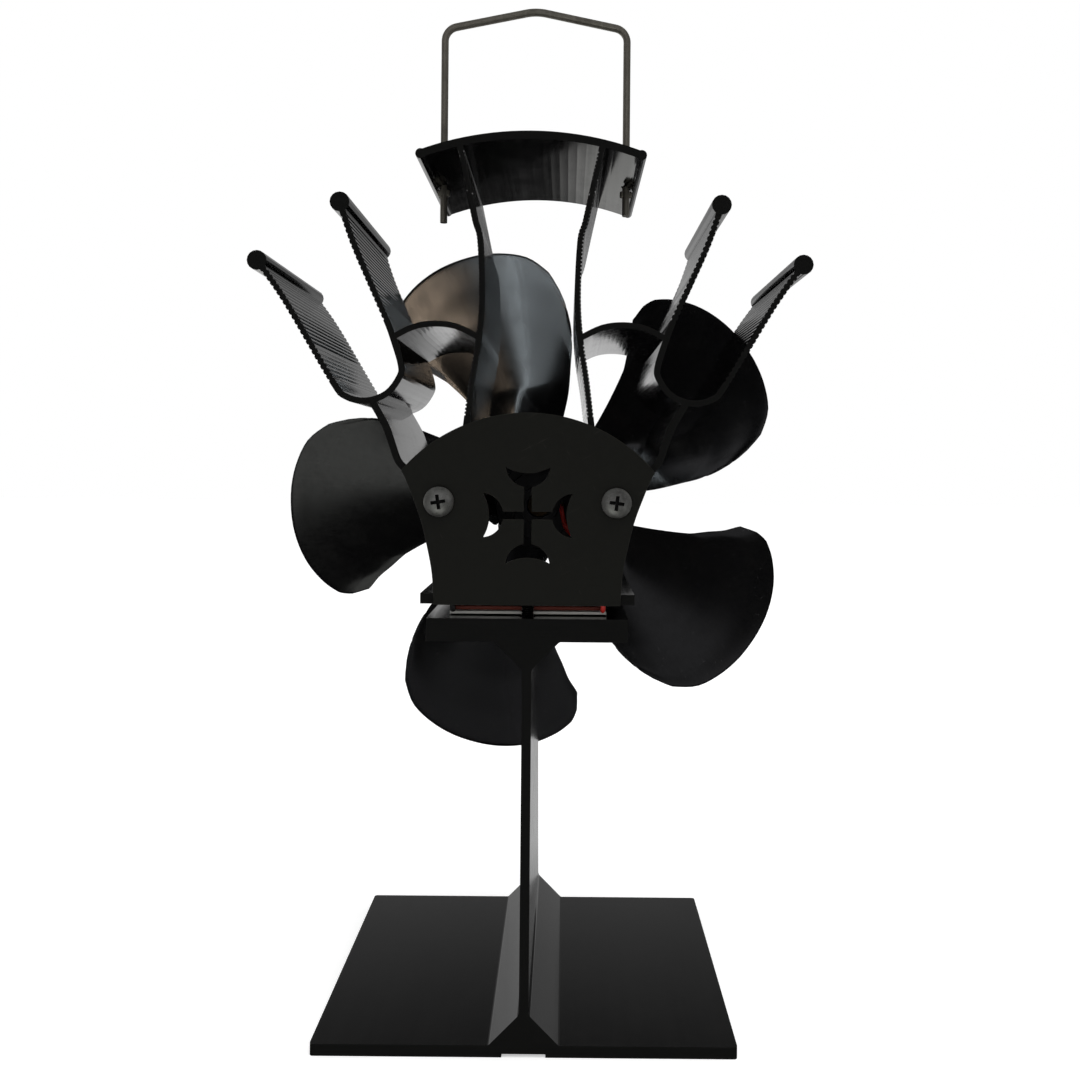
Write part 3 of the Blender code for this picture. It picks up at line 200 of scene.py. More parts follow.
def round_edges(piece: Thing, test: Test, radius: float) -> None:
    """Round the edges that a test picks by their ends."""
    select_edges(piece, test)
    bpy.ops.mesh.bevel(offset=radius, segments=5, affect="EDGES")
    bpy.ops.object.mode_set(mode="OBJECT")


def use(piece: Thing, kind: str, **settings: object) -> None:
    """Give the piece a modifier and apply it at once.

    Args:
        piece: The piece.
        kind: Blender's name for the modifier's kind.
        settings: The modifier's settings.
    """
    hold(piece)
    modifier = piece.modifiers.new(kind.lower(), kind)
    for name, value in settings.items():
        setattr(modifier, name, value)
    bpy.ops.object.modifier_apply(modifier=modifier.name)


def carve(piece: Thing, cutter: Thing) -> None:
    """Cut the cutter out of the piece and throw the cutter away."""
    use(piece, "BOOLEAN", object=cutter, operation="DIFFERENCE", solver="EXACT")
    bpy.data.objects.remove(cutter, do_unlink=True)


def fuse(piece: Thing, other: Thing) -> None:
    """Join another solid to the piece in one skin."""
    use(piece, "BOOLEAN", object=other, operation="UNION", solver="EXACT")
    bpy.data.objects.remove(other, do_unlink=True)


def soften(piece: Thing, width: float, segments: int = 2, angle: float = 35.0) -> None:
    """Round all edges sharper than an angle."""
    use(
        piece, "BEVEL", width=width, segments=segments, limit_method="ANGLE",
        angle_limit=math.radians(angle), use_clamp_overlap=True, miter_outer="MITER_ARC",
    )


def added(name: str) -> Thing:
    """The object that was just added, under its name."""
    bpy.context.object.name = name
    return bpy.context.object


def ring(name: str, points: Sequence[Sequence[float]], fill: str = "NOTHING") -> Thing:
    """A closed loop of edges through points, filled or open."""
    deselect()
    bpy.ops.mesh.primitive_circle_add(vertices=len(points), radius=MM, fill_type=fill)
    piece = added(name)
    for vertex, point in zip(piece.data.vertices, points):
        vertex.co = point
    return piece


def plate(name: str, outline: Sequence[Pair], near: float, far: float) -> Thing:
    """Extrude an outline in the upright plane from one depth to another.

    Args:
        name: The piece's name.
        outline: The outline's (x, z) points.
        near: Depth of the near face.
        far: Depth of the far face.

    Returns:
        The closed plate.
    """
    piece = ring(name, [(x, near, z) for x, z in outline], "NGON")
    with editing(piece):
        move = {"value": (0, far - near, 0), "orient_type": "GLOBAL"}
        bpy.ops.mesh.extrude_region_move(TRANSFORM_OT_translate=move)
        bpy.ops.mesh.select_all(action="SELECT")
        bpy.ops.mesh.normals_make_consistent(inside=False)
    return piece


def side_plate(name: str, outline: Sequence[Pair], half_width: float) -> Thing:
    """Extrude a (y, z) outline to both sides of the middle plane."""
    piece = plate(name, outline, -half_width, half_width)
    piece.rotation_euler = (0, 0, math.radians(90))
    settle(piece)
    return piece


def block(name: str, low: Sequence[float], high: Sequence[float], place: Matrix | None = None) -> Thing:
    """A block between two corners, as a start for shaping.

    Args:
        name: The piece's name.
        low: Its lowest corner.
        high: Its highest corner.
        place: Where its own frame lies, if not at the origin.

    Returns:
        The block.
    """
    low, high = Vector(low), Vector(high)
    deselect()
    bpy.ops.mesh.primitive_cube_add(size=1, location=(low + high) / 2, scale=high - low)
    piece = added(name)
    if place is not None:
        piece.matrix_world = place @ piece.matrix_world
    settle(piece)
    return piece


def lathe(name: str, profile: Sequence[Pair], place: Matrix, steps: int = 64) -> Thing:
    """Turn a closed profile about its axis.

    Args:
        name: The piece's name.
        profile: (radius, place along the axis) points of the closed profile.
        place: Where the axis lies; the profile's axis is local Z.
        steps: Sides of the round.

    Returns:
        The turned piece.
    """
    piece = ring(name, [(radius, 0, along) for radius, along in profile])
    with editing(piece):
        bpy.ops.mesh.spin(
            steps=steps, angle=math.tau, center=(0, 0, 0), axis=(0, 0, 1), use_auto_merge=True
        )
    piece.matrix_world = place
    settle(piece)
    return close_up(piece)


def rod(radius: float, low: float, high: float, place: Matrix, steps: int = 32) -> Thing:
    """A round cutter along local Z.

    Args:
        radius: Its radius.
        low: Its lower end.
        high: Its upper end.
        place: Where its frame lies.
        steps: Sides of the round.

    Returns:
        The cutter.
    """
    deselect()
    bpy.ops.mesh.primitive_cylinder_add(
        vertices=steps, radius=radius, depth=high - low, location=(0, 0, (low + high) / 2)
    )
    piece = added("cutter")
    piece.matrix_world = place @ piece.matrix_world
    settle(piece)
    return piece


def wire(name: str, points: Sequence[Vector], radius: float, resolution: int = 4) -> Thing:
    """Sweep a round section along points and make it a mesh.

    Args:
        name: The piece's name.
        points: The middle line.
        radius: The section's radius.
        resolution: Half the sides of a quarter of the section.

    Returns:
        The closed wire.
    """
    deselect()
    bpy.ops.curve.primitive_bezier_curve_add()
    piece = added(name)
    curve = piece.data
    curve.splines.clear()
    spline = curve.splines.new("POLY")
    spline.points.add(len(points) - 1)
    for target, point in zip(spline.points, points):
        target.co = (*point, 1)
    curve.bevel_depth = radius
    curve.bevel_resolution = resolution
    curve.use_fill_caps = True
    bpy.ops.object.convert(target="MESH")
    return close_up(bpy.context.object, 50)


def copy_of(piece: Thing, name: str, move: Matrix) -> Thing:
    """Copy a piece with a mesh of its own and put it elsewhere."""
    twin = piece.copy()
    twin.data = piece.data.copy()
    twin.name = name
    bpy.context.scene.collection.objects.link(twin)
    twin.data.transform(move)
    return twin


def join(pieces: Sequence[Thing]) -> Thing:
    """Make pieces one object, the first, with their meshes side by side."""
    hold(pieces[0])
    for piece in pieces:
        piece.select_set(True)
    bpy.ops.object.join()
    return pieces[0]


# Outlines


def arc(centre: Pair, radius: float, start: float, end: float, steps: int) -> list[Vector]:
    """Points on a circle from one angle to another, in radians."""
    turns = [start + (end - start) * step / steps for step in range(steps + 1)]
    return [Vector((centre[0] + radius * math.cos(t), centre[1] + radius * math.sin(t))) for t in turns]


def fillet(outline: Sequence[Pair], radii: Sequence[float], steps: int = 5) -> list[Vector]:
    """Round the corners of a closed outline.

    Args:
        outline: The corner points.
        radii: A radius for each corner, 0 for one that stays sharp.
        steps: Points on each round.

    Returns:
        The outline's points.
    """
    corners = [Vector(point) for point in outline]
    made = []
    for index, (corner, radius) in enumerate(zip(corners, radii)):
        after = corners[(index + 1) % len(corners)]
        made += bend(corner, corners[index - 1], after, radius, steps) if radius else [corner]
    return made


def bend(corner: Vector, before: Vector, after: Vector, radius: float, steps: int) -> list[Vector]:
    """Points of the round at a corner between the runs from one point and to another.

    Args:
        corner: The corner.
        before: The point it comes from.
        after: The point it goes to.
        radius: The round's radius.
        steps: Steps on it.

    Returns:
        The round's points.
    """
    back = (before - corner).normalized()
    ahead = (after - corner).normalized()
    half = back.angle(ahead) / 2
    centre = corner + (back + ahead).normalized() * radius / math.sin(half)
    start = corner + back * radius / math.tan(half) - centre
    end = corner + ahead * radius / math.tan(half) - centre
    shares = [step / steps for step in range(steps + 1)]
    return [centre + (start * (1 - share) + end * share).normalized() * radius for share in shares]


def spline(rows: Sequence, index: int, share: float) -> Vector | float:
    """A smooth curve's place between one row and the next.

    Args:
        rows: The points or values that it runs through.
        index: The row before the place.
        share: The place's share of the way to the next row.

    Returns:
        The point or value there.
    """
    start, end = rows[index], rows[index + 1]
    before, after = rows[max(index - 1, 0)], rows[min(index + 2, len(rows) - 1)]
    place = start * 2 + (end - before) * share
    place += (before * 2 - start * 5 + end * 4 - after) * share ** 2
    place += (start * 3 - before - end * 3 + after) * share ** 3
    return place / 2


def smooth_path(points: Sequence[Sequence[float]], steps: int) -> list[Vector]:
    """A smooth curve through points, as a denser list of points."""
    rows = [Vector(point) for point in points]
    path = [spline(rows, index, step / steps) for index in range(len(rows) - 1) for step in range(steps)]
    return path + [rows[-1]]


def lookup(table: Sequence[Pair], at: float) -> float:
    """Read a smooth value from a table of (place, value) rows."""
    index = 0
    while index < len(table) - 2 and at > table[index + 1][0]:
        index += 1
    share = (at - table[index][0]) / (table[index + 1][0] - table[index][0])
    return spline([value for _, value in table], index, share)


def heading(azimuth: float, elevation: float) -> Vector:
    """The direction of an azimuth, from +Y towards +X, and an elevation, both in degrees."""
    turn, rise = math.radians(azimuth), math.radians(elevation)
    return Vector((math.sin(turn) * math.cos(rise), math.cos(turn) * math.cos(rise), math.sin(rise)))


def chord_radius(half_chord: float, rise: float) -> float:
    """The radius of a circle with the given half chord and rise."""
    return (half_chord ** 2 + rise ** 2) / (2 * rise)


# Nodes


class Graph:
    """Adds and links the nodes of one material or one shared group."""

    def __init__(self, tree: bpy.types.NodeTree) -> None:
        """Start on a node tree."""
        self.tree = tree

    def add(self, kind: str, inputs: dict | None = None, **settings: object) -> bpy.types.Node:
        """Add a node.

        Args:
            kind: The node's type without its ShaderNode prefix.
            inputs: Values or sockets for its inputs, by name or number.
            settings: Its other settings.

        Returns:
            The node.
        """
        node = self.tree.nodes.new("ShaderNode" + kind)
        for name, value in settings.items():
            setattr(node, name, value)
        for name, value in (inputs or {}).items():
            self.feed(node.inputs[name], value)
        return node

    def feed(self, socket: Socket, value: object) -> None:
        """Link a socket to an input, or set the input's value."""
        if isinstance(value, Socket):
            self.tree.links.new(value, socket)
        else:
            socket.default_value = value

    def sum(self, operation: str, first: object, second: object = 0.0, clamp: bool = False) -> Socket:
        """One step of arithmetic on values."""
        return self.add("Math", {0: first, 1: second}, operation=operation, use_clamp=clamp).outputs[0]

    def times(self, first: object, second: object, clamp: bool = False) -> Socket:
        """One value times another."""
        return self.sum("MULTIPLY", first, second, clamp)

    def plus(self, first: object, second: object, clamp: bool = False) -> Socket:
        """One value and another."""
        return self.sum("ADD", first, second, clamp)

    def length(self, vector: object) -> Socket:
        """How long a vector is."""
        return self.vector("LENGTH", vector).outputs["Value"]

    def vector(self, operation: str, first: object, second: object = (0, 0, 0)) -> bpy.types.Node:
        """One step of arithmetic on vectors."""
        return self.add("VectorMath", {0: first, 1: second}, operation=operation)

    def round_motor(self, coords: object) -> tuple[Socket, Socket]:
        """A place seen from the motor's axis, and its part across the axis alone."""
        centred = self.vector("SUBTRACT", coords, (AXIS_X, 0, AXIS_Z)).outputs[0]
        return centred, self.vector("MULTIPLY", centred, (1, 0, 1)).outputs[0]

    def mix(self, share: object, first: object, second: object) -> Socket:
        """Blend two colours by a share."""
        colours = [(*c, 1) if isinstance(c, tuple) and len(c) == 3 else c for c in (first, second)]
        inputs = {0: share, 6: colours[0], 7: colours[1]}
        return self.add("Mix", inputs, data_type="RGBA").outputs[2]

    def remap(self, value: object, low: float, high: float, to: Pair = (0.0, 1.0)) -> Socket:
        """Stretch a range of values to another, held at its ends."""
        inputs = {0: value, 1: low, 2: high, 3: to[0], 4: to[1]}
        return self.add("MapRange", inputs, clamp=True).outputs[0]

    def grey(self, level: object) -> Socket:
        """A grey of a given level."""
        return self.mix(level, (0.0, 0.0, 0.0), (1.0, 1.0, 1.0))

    def finish(self, shader: Socket, kind: str = "OutputMaterial") -> None:
        """Link the shader to the graph's output."""
        self.feed(self.add(kind).inputs[0], shader)

    def noise(self, vector: object, scale: object, detail: float = 3.0, rough: float = 0.55) -> Socket:
        """Cloudy values from 0 to 1."""
        inputs = {"Vector": vector, "Scale": scale, "Detail": detail, "Roughness": rough}
        return self.add("TexNoise", inputs).outputs[0]


def fresh_material(name: str) -> tuple[bpy.types.Material, Graph]:
    """A new material with an empty graph."""
    made = bpy.data.materials.new(name)
    made.use_nodes = True
    made.node_tree.nodes.clear()
    return made, Graph(made.node_tree)


class Effect(Enum):
    """Effects that several finishes share, each one node group."""

    GRAIN = "Grain"
    STREAKS = "Streaks"
    EDGE_WEAR_AND_HIGHLIGHT = "Edge wear and highlight"
    DUST = "Dust"
    SCRATCHES = "Scratches"
    SMUDGES = "Smudges"
    TURNING = "Turning marks"


class Effects:
    """Makes each shared node group once, by the method of its name, and places it in materials."""

    VALUES = {
        Effect.GRAIN: {"Scale": 4000.0},
        Effect.STREAKS: {"Across": None},
        Effect.EDGE_WEAR_AND_HIGHLIGHT: {"Radius": 0.2 * MM, "Amount": 0.5},
        Effect.DUST: {"Amount": 0.2},
        Effect.SCRATCHES: {"Amount": 0.3},
        Effect.SMUDGES: {"Scale": 160.0, "Amount": 0.3},
        Effect.TURNING: {"Pitch": 0.3 * MM},
    }

    @classmethod
    def place(cls, graph: Graph, effect: Effect, **inputs: object) -> Socket:
        """Place a shared effect in a material.

        Args:
            graph: The material's graph.
            effect: Which effect.
            inputs: Values or sockets for the group's inputs.

        Returns:
            The effect's value.
        """
        tree = bpy.data.node_groups.get(effect.value) or cls.make(effect)
        node = graph.add("Group", node_tree=tree)
        for name, value in inputs.items():
            graph.feed(node.inputs[name], value)
        return node.outputs[0]

    @classmethod
    def make(cls, effect: Effect) -> bpy.types.NodeTree:
        """Make the node group of an effect.

        Args:
            effect: The effect.

        Returns:
            Its node tree.
        """
        tree = bpy.data.node_groups.new(effect.value, "ShaderNodeTree")
        for name, default in {"Vector": None, **cls.VALUES[effect]}.items():
            kind = "NodeSocketVector" if default is None else "NodeSocketFloat"
            socket = tree.interface.new_socket(name, in_out="INPUT", socket_type=kind)
            if default is not None:
                socket.default_value = default
        tree.interface.new_socket("Value", in_out="OUTPUT", socket_type="NodeSocketFloat")
        graph = Graph(tree)
        start = tree.nodes.new("NodeGroupInput").outputs
        end = tree.nodes.new("NodeGroupOutput").inputs
        graph.feed(end[0], getattr(cls, effect.name.lower())(graph, start))
        return tree

    @staticmethod
    def grain(graph: Graph, start: Sockets) -> Socket:
        """Fine even grain with a coarser one under it."""
        fine = graph.noise(start["Vector"], start["Scale"], 2.0, 0.7)
        coarse = graph.noise(start["Vector"], graph.times(start["Scale"], 0.17), 2.0, 0.5)
        return graph.remap(graph.times(graph.plus(fine, coarse), 0.5), 0.3, 0.7)

    @staticmethod
    def streaks(graph: Graph, start: Sockets) -> Socket:
        """Lines drawn out along the axis that Across gives no number for."""
        stretched = graph.vector("MULTIPLY", start["Vector"], start["Across"]).outputs[0]
        thin = graph.noise(stretched, 1.0, 5.0, 0.6)
        return graph.remap(thin, 0.3, 0.7)

    @staticmethod
    def edge_wear_and_highlight(graph: Graph, start: Sockets) -> Socket:
        """Broken rubbing along hard edges, which also paints a highlight on them."""
        rounded = graph.add("Bevel", {"Radius": start["Radius"]}, samples=4).outputs[0]
        flat = graph.add("NewGeometry").outputs["Normal"]
        bent = graph.sum("SUBTRACT", 1.0, graph.vector("DOT_PRODUCT", rounded, flat).outputs["Value"])
        edge = graph.remap(bent, 0.01, 0.16)
        broken = graph.remap(graph.noise(start["Vector"], 900.0, 4.0, 0.65), 0.35, 0.62)
        return graph.times(graph.times(edge, broken), start["Amount"], True)

    @staticmethod
    def dust(graph: Graph, start: Sockets) -> Socket:
        """Dust on what looks up, in patches with specks."""
        normal = graph.add("NewGeometry").outputs["Normal"]
        up = graph.add("SeparateXYZ", {0: normal}).outputs[2]
        patches = graph.remap(graph.noise(start["Vector"], 55.0, 3.0), 0.35, 0.7, (0.25, 1.0))
        specks = graph.remap(graph.noise(start["Vector"], 2600.0, 2.0, 0.8), 0.6, 0.75)
        film = graph.plus(graph.times(patches, 0.55), graph.times(specks, 0.6))
        lying = graph.times(graph.remap(up, 0.2, 0.9), film)
        return graph.times(lying, start["Amount"], True)

    @staticmethod
    def scratches(graph: Graph, start: Sockets) -> Socket:
        """Short straight strokes in two directions."""
        masks = []
        for angle, stretch in ((0.5, (1100.0, 70.0, 1100.0)), (-1.1, (900.0, 45.0, 900.0))):
            inputs = {"Vector": start["Vector"], "Axis": (0.1, 1.0, 0.2), "Angle": angle}
            turned = graph.add("VectorRotate", inputs).outputs[0]
            stretched = graph.vector("MULTIPLY", turned, (stretch[0], stretch[2], stretch[1])).outputs[0]
            away = graph.add("TexVoronoi", {"Vector": stretched, "Scale": 1.0}).outputs["Distance"]
            masks.append(graph.remap(away, 0.03, 0.11, (1.0, 0.0)))
        either = graph.sum("MAXIMUM", masks[0], masks[1])
        broken = graph.remap(graph.noise(start["Vector"], 90.0, 3.0), 0.45, 0.6)
        return graph.times(graph.times(either, broken), start["Amount"], True)

    @staticmethod
    def smudges(graph: Graph, start: Sockets) -> Socket:
        """Soft blots of handling and oil."""
        blot = graph.noise(start["Vector"], start["Scale"], 4.0, 0.6)
        return graph.times(graph.remap(blot, 0.48, 0.68), start["Amount"], True)

    @staticmethod
    def turning(graph: Graph, start: Sockets) -> Socket:
        """Rings left by a lathe tool round the motor's axis."""
        centred, flat = graph.round_motor(start["Vector"])
        along = graph.add("SeparateXYZ", {0: centred}).outputs[1]
        place = graph.sum("DIVIDE", graph.plus(graph.length(flat), along), start["Pitch"])
        wobble = graph.times(graph.noise(start["Vector"], 300.0, 2.0), 1.4)
        wave = graph.sum("SINE", graph.times(graph.plus(place, wobble), math.tau))
        return graph.remap(wave, -1.0, 1.0)


@dataclass
class Look:
    """What a finish feeds to its shader: colour, roughness and relief over the surface."""

    colour: Socket
    roughness: Socket
    relief: Socket


@dataclass(frozen=True)
class Finish:
    """A finish made of shared effects; sizes are metres, colours linear.

    Relief is in metres; `across` gives streaks per metre along each axis, and none if it is empty.
    """

    name: str
    colour: Colour
    light: Colour
    worn_and_highlight_colour: Colour
    roughness: float = 0.4
    metallic: float = 0.0
    ior: float = 1.5
    coat: float = 0.0
    grain: float = 3000.0
    grain_relief: float = 0.003 * MM
    across: tuple[float, ...] = ()
    streak_relief: float = 0.0
    # How far and how widely hard edges turn lighter: partly rubbed metal, partly a painted edge highlight
    worn_and_highlighted_edges: float = 0.3
    worn_and_highlighted_edge_radius: float = 0.25 * MM
    dust: float = 0.15
    scratches: float = 0.3
    smudges: float = 0.3
    smudge_colour: Colour = (0.02, 0.018, 0.015)

    def material(self) -> bpy.types.Material:
        """The finish's material, made the first time it is asked for.

        Returns:
            The material.
        """
        made = bpy.data.materials.get(self.name)
        if made:
            return made
        made, graph = fresh_material(self.name)
        coords = graph.add("TexCoord").outputs["Object"]
        look = self.special(graph, coords, self.base(graph, coords))
        bump = graph.add("Bump", {"Height": look.relief, "Strength": 1.0, "Distance": 1.0})
        shader = graph.add("BsdfPrincipled", {
            "Base Color": look.colour, "Roughness": look.roughness, "Metallic": self.metallic,
            "IOR": self.ior, "Coat Weight": self.coat, "Coat Roughness": 0.12,
            "Normal": bump.outputs[0],
        })
        graph.finish(shader.outputs[0])
        return made

    def base(self, graph: Graph, coords: Socket) -> Look:
        """Grain, streaks, smudges, scratches, rubbed edges with a painted edge highlight, and dust, in that
        order.

        Args:
            graph: The material's graph.
            coords: Object coordinates.

        Returns:
            What feeds the shader so far.
        """
        grain = Effects.place(graph, Effect.GRAIN, Vector=coords, Scale=self.grain)
        tone = grain
        relief = graph.times(grain, self.grain_relief)
        if self.across:
            streaks = Effects.place(graph, Effect.STREAKS, Vector=coords, Across=self.across)
            tone = graph.plus(graph.times(grain, 0.35), graph.times(streaks, 0.65))
            relief = graph.plus(relief, graph.times(streaks, self.streak_relief))
        colour = graph.mix(tone, self.colour, self.light)
        rough = graph.plus(self.roughness - 0.05, graph.times(tone, 0.1))
        smudge = Effects.place(graph, Effect.SMUDGES, Vector=coords, Amount=self.smudges)
        colour = graph.mix(smudge, colour, self.smudge_colour)
        rough = graph.plus(rough, graph.times(smudge, 0.18))
        scratch = Effects.place(graph, Effect.SCRATCHES, Vector=coords, Amount=self.scratches)
        colour = graph.mix(scratch, colour, self.worn_and_highlight_colour)
        relief = graph.sum("SUBTRACT", relief, graph.times(scratch, 0.003 * MM))
        # Rubbed edges, partly a painted highlight: hard edges turn towards the lighter rubbed colour
        worn_and_highlighted_edges = Effects.place(
            graph, Effect.EDGE_WEAR_AND_HIGHLIGHT, Vector=coords, Radius=self.worn_and_highlighted_edge_radius, Amount=self.worn_and_highlighted_edges
        )
        colour = graph.mix(worn_and_highlighted_edges, colour, self.worn_and_highlight_colour)
        dust = Effects.place(graph, Effect.DUST, Vector=coords, Amount=self.dust)
        colour = graph.mix(dust, colour, (0.32, 0.30, 0.27))
        rough = graph.plus(rough, graph.times(dust, 0.4), True)
        return Look(colour, rough, relief)

    def special(self, graph: Graph, coords: Socket, look: Look) -> Look:
        """What only this kind of finish has."""
        return look


@dataclass(frozen=True)
class SawnExtrusion(Finish):
    """Anodised extrusion: die lines along its sides, a duller sawn finish on its cut ends."""

    sawn_colour: Colour = (0.0026, 0.0026, 0.0021)
    sawn_roughness: float = 0.72

    def special(self, graph: Graph, coords: Socket, look: Look) -> Look:
        """Add the sawn ends, which face along the extrusion."""
        normal = graph.add("NewGeometry").outputs["True Normal"]
        along = graph.sum("ABSOLUTE", graph.add("SeparateXYZ", {0: normal}).outputs[1])
        end = graph.remap(along, 0.8, 0.95)
        marks = Effects.place(graph, Effect.STREAKS, Vector=coords, Across=(60.0, 0.0, 2600.0))
        tone = graph.mix(marks, self.sawn_colour, tuple(part * 1.9 for part in self.sawn_colour))
        colour = graph.mix(end, look.colour, tone)
        rough = graph.plus(self.sawn_roughness, graph.times(marks, 0.1))
        roughness = graph.add("Mix", {0: end, 2: look.roughness, 3: rough}).outputs[0]
        saw = graph.times(graph.times(marks, end), 0.006 * MM)
        return Look(colour, roughness, graph.plus(look.relief, saw))


@dataclass(frozen=True)
class TurnedFinish(Finish):
    """A finish with the rings of a lathe tool."""

    pitch: float = 0.25 * MM
    ring_relief: float = 0.004 * MM

    def special(self, graph: Graph, coords: Socket, look: Look) -> Look:
        """Add the tool's rings."""
        rings = Effects.place(graph, Effect.TURNING, Vector=coords, Pitch=self.pitch)
        relief = graph.plus(look.relief, graph.times(rings, self.ring_relief))
        rough = graph.plus(look.roughness, graph.times(rings, 0.06))
        return Look(look.colour, rough, relief)


@dataclass(frozen=True)
class BrushedBlade(Finish):
    """Lacquer over sheet that was brushed outwards from the hub."""

    strokes: float = 210.0
    stroke_length: float = 7.0 * MM
    stroke_relief: float = 0.0018 * MM

    def special(self, graph: Graph, coords: Socket, look: Look) -> Look:
        """Add the strokes, which run along the radius."""
        flat = graph.round_motor(coords)[1]
        turn = graph.vector("MULTIPLY", graph.vector("NORMALIZE", flat).outputs[0], (self.strokes,) * 3)
        out = graph.sum("DIVIDE", graph.length(flat), self.stroke_length)
        place = graph.vector("ADD", turn.outputs[0], graph.add("CombineXYZ", {1: out}).outputs[0])
        strokes = graph.remap(graph.noise(place.outputs[0], 1.0, 3.0, 0.6), 0.3, 0.7)
        relief = graph.plus(look.relief, graph.times(strokes, self.stroke_relief))
        rough = graph.plus(look.roughness, graph.times(strokes, 0.05))
        return Look(look.colour, rough, relief)


@dataclass(frozen=True)
class LayeredFinish(Finish):
    """A finish in layers across one axis, as of stacked sheets or turns of wire."""

    step: float = 0.35 * MM
    axis: int = 1
    seam: Colour = (0.02, 0.02, 0.02)
    layer_relief: float = 0.03 * MM

    def special(self, graph: Graph, coords: Socket, look: Look) -> Look:
        """Add the layers and the dark seams between them."""
        place = graph.add("SeparateXYZ", {0: coords}).outputs[self.axis]
        wave = graph.sum("SINE", graph.times(place, math.tau / self.step))
        seam = graph.remap(wave, -0.95, -0.55, (1.0, 0.0))
        colour = graph.mix(seam, look.colour, self.seam)
        relief = graph.plus(look.relief, graph.times(wave, self.layer_relief / 2))
        return Look(colour, look.roughness, relief)


# A finish: name, colour, light colour and the colour of rubbed spots, also used as the painted edge
# highlight, then what is its own
EXTRUSION = SawnExtrusion(
    "anodised_extrusion", (0.0022, 0.0022, 0.0023), (0.004,) * 3, (0.10, 0.10, 0.097), roughness=0.11,
    across=(900.0, 6.0, 900.0), streak_relief=0.0004 * MM, grain=5200.0, grain_relief=0.0004 * MM,
    worn_and_highlighted_edges=0.2, dust=0.01, scratches=0.1, smudges=0.2, smudge_colour=(0.007, 0.0065, 0.006),
)
COVER_PAINT = Finish(
    "matt_black_plate", (0.0062, 0.0063, 0.0038), (0.0098, 0.0099, 0.0064), (0.08, 0.076, 0.064),
    roughness=0.6, ior=1.42, grain=6000.0, grain_relief=0.006 * MM, worn_and_highlighted_edge_radius=0.3 * MM, dust=0.1,
    scratches=0.2, smudges=0.35, smudge_colour=(0.009, 0.008, 0.006),
)
BLADE_LACQUER = BrushedBlade(
    "blade_lacquer", (0.0016, 0.0016, 0.0019), (0.003, 0.003, 0.0033), (0.12,) * 3, roughness=0.165,
    grain=4200.0, grain_relief=0.0006 * MM, dust=0.03, scratches=0.25, smudges=0.2,
    smudge_colour=(0.006, 0.005, 0.004),
)
TURNED_BLACK = TurnedFinish(
    "turned_black", (0.007,) * 3, (0.014,) * 3, (0.25, 0.25, 0.24), roughness=0.3, worn_and_highlighted_edges=0.5, dust=0.1,
    scratches=0.2, smudges=0.2,
)
ZINC = Finish(
    "zinc_plate", (0.24, 0.24, 0.225), (0.46, 0.46, 0.44), (0.55, 0.55, 0.52), roughness=0.38,
    metallic=0.85, grain=2600.0, grain_relief=0.004 * MM, worn_and_highlighted_edges=0.5, dust=0.1, scratches=0.6, smudges=0.6,
    smudge_colour=(0.05, 0.047, 0.04),
)
BLACK_OXIDE = Finish(
    "black_oxide", (0.045, 0.045, 0.048), (0.09,) * 3, (0.4, 0.4, 0.38), roughness=0.42, metallic=1.0,
    worn_and_highlighted_edges=0.6, dust=0.12, scratches=0.4, smudges=0.4,
)
# Painted shade: a dark material for the faces inside a screw's cross recess
RECESS_PAINTED_SHADE = Finish(
    "recess_painted_shade", (0.006,) * 3, (0.014, 0.013, 0.012), (0.05, 0.05, 0.048), roughness=0.7, worn_and_highlighted_edges=0.1,
    dust=0.05, scratches=0.1,
)
CAN_STEEL = Finish(
    "motor_can_steel", (0.40, 0.40, 0.385), (0.58, 0.58, 0.56), (0.7, 0.7, 0.68), roughness=0.3,
    metallic=1.0, across=(60.0, 1400.0, 60.0), streak_relief=0.002 * MM, dust=0.08, scratches=0.5,
    smudges=0.4,
)
BRACKET_STEEL = Finish(
    "bracket_steel", (0.36, 0.365, 0.37), (0.52, 0.53, 0.54), (0.7, 0.7, 0.68), roughness=0.36,
    metallic=1.0, across=(24.0, 1500.0, 1500.0), streak_relief=0.003 * MM, worn_and_highlighted_edges=0.5, dust=0.1,
    scratches=0.6, smudges=0.5,
)
SHAFT_STEEL = TurnedFinish(
    "ground_shaft", (0.5,) * 3, (0.62,) * 3, (0.75,) * 3, roughness=0.2, metallic=1.0, worn_and_highlighted_edges=0.2, dust=0.05,
    scratches=0.2, pitch=0.12 * MM, ring_relief=0.0008 * MM,
)
HANDLE_WIRE = Finish(
    "handle_wire", (0.20, 0.185, 0.155), (0.33, 0.31, 0.265), (0.5, 0.48, 0.43), roughness=0.38,
    metallic=0.72, across=(900.0, 900.0, 40.0), streak_relief=0.004 * MM, grain=2400.0,
    grain_relief=0.005 * MM, worn_and_highlighted_edges=0.2, dust=0.1, scratches=0.4, smudges=0.35,
    smudge_colour=(0.08, 0.072, 0.06),
)
CERAMIC = Finish(
    "white_ceramic", (0.42, 0.415, 0.385), (0.52, 0.515, 0.485), (0.5, 0.49, 0.46), roughness=0.5,
    grain=2600.0, grain_relief=0.004 * MM, dust=0.1, scratches=0.1, smudges=0.35,
    smudge_colour=(0.4, 0.38, 0.33),
)
SEAL = Finish(
    "red_seal", (0.06, 0.009, 0.007), (0.10, 0.018, 0.013), (0.15, 0.05, 0.04), roughness=0.5, grain=900.0,
    grain_relief=0.03 * MM, worn_and_highlighted_edges=0.1, dust=0.2, scratches=0.0, smudges=0.5,
    smudge_colour=(0.05, 0.008, 0.006),
)
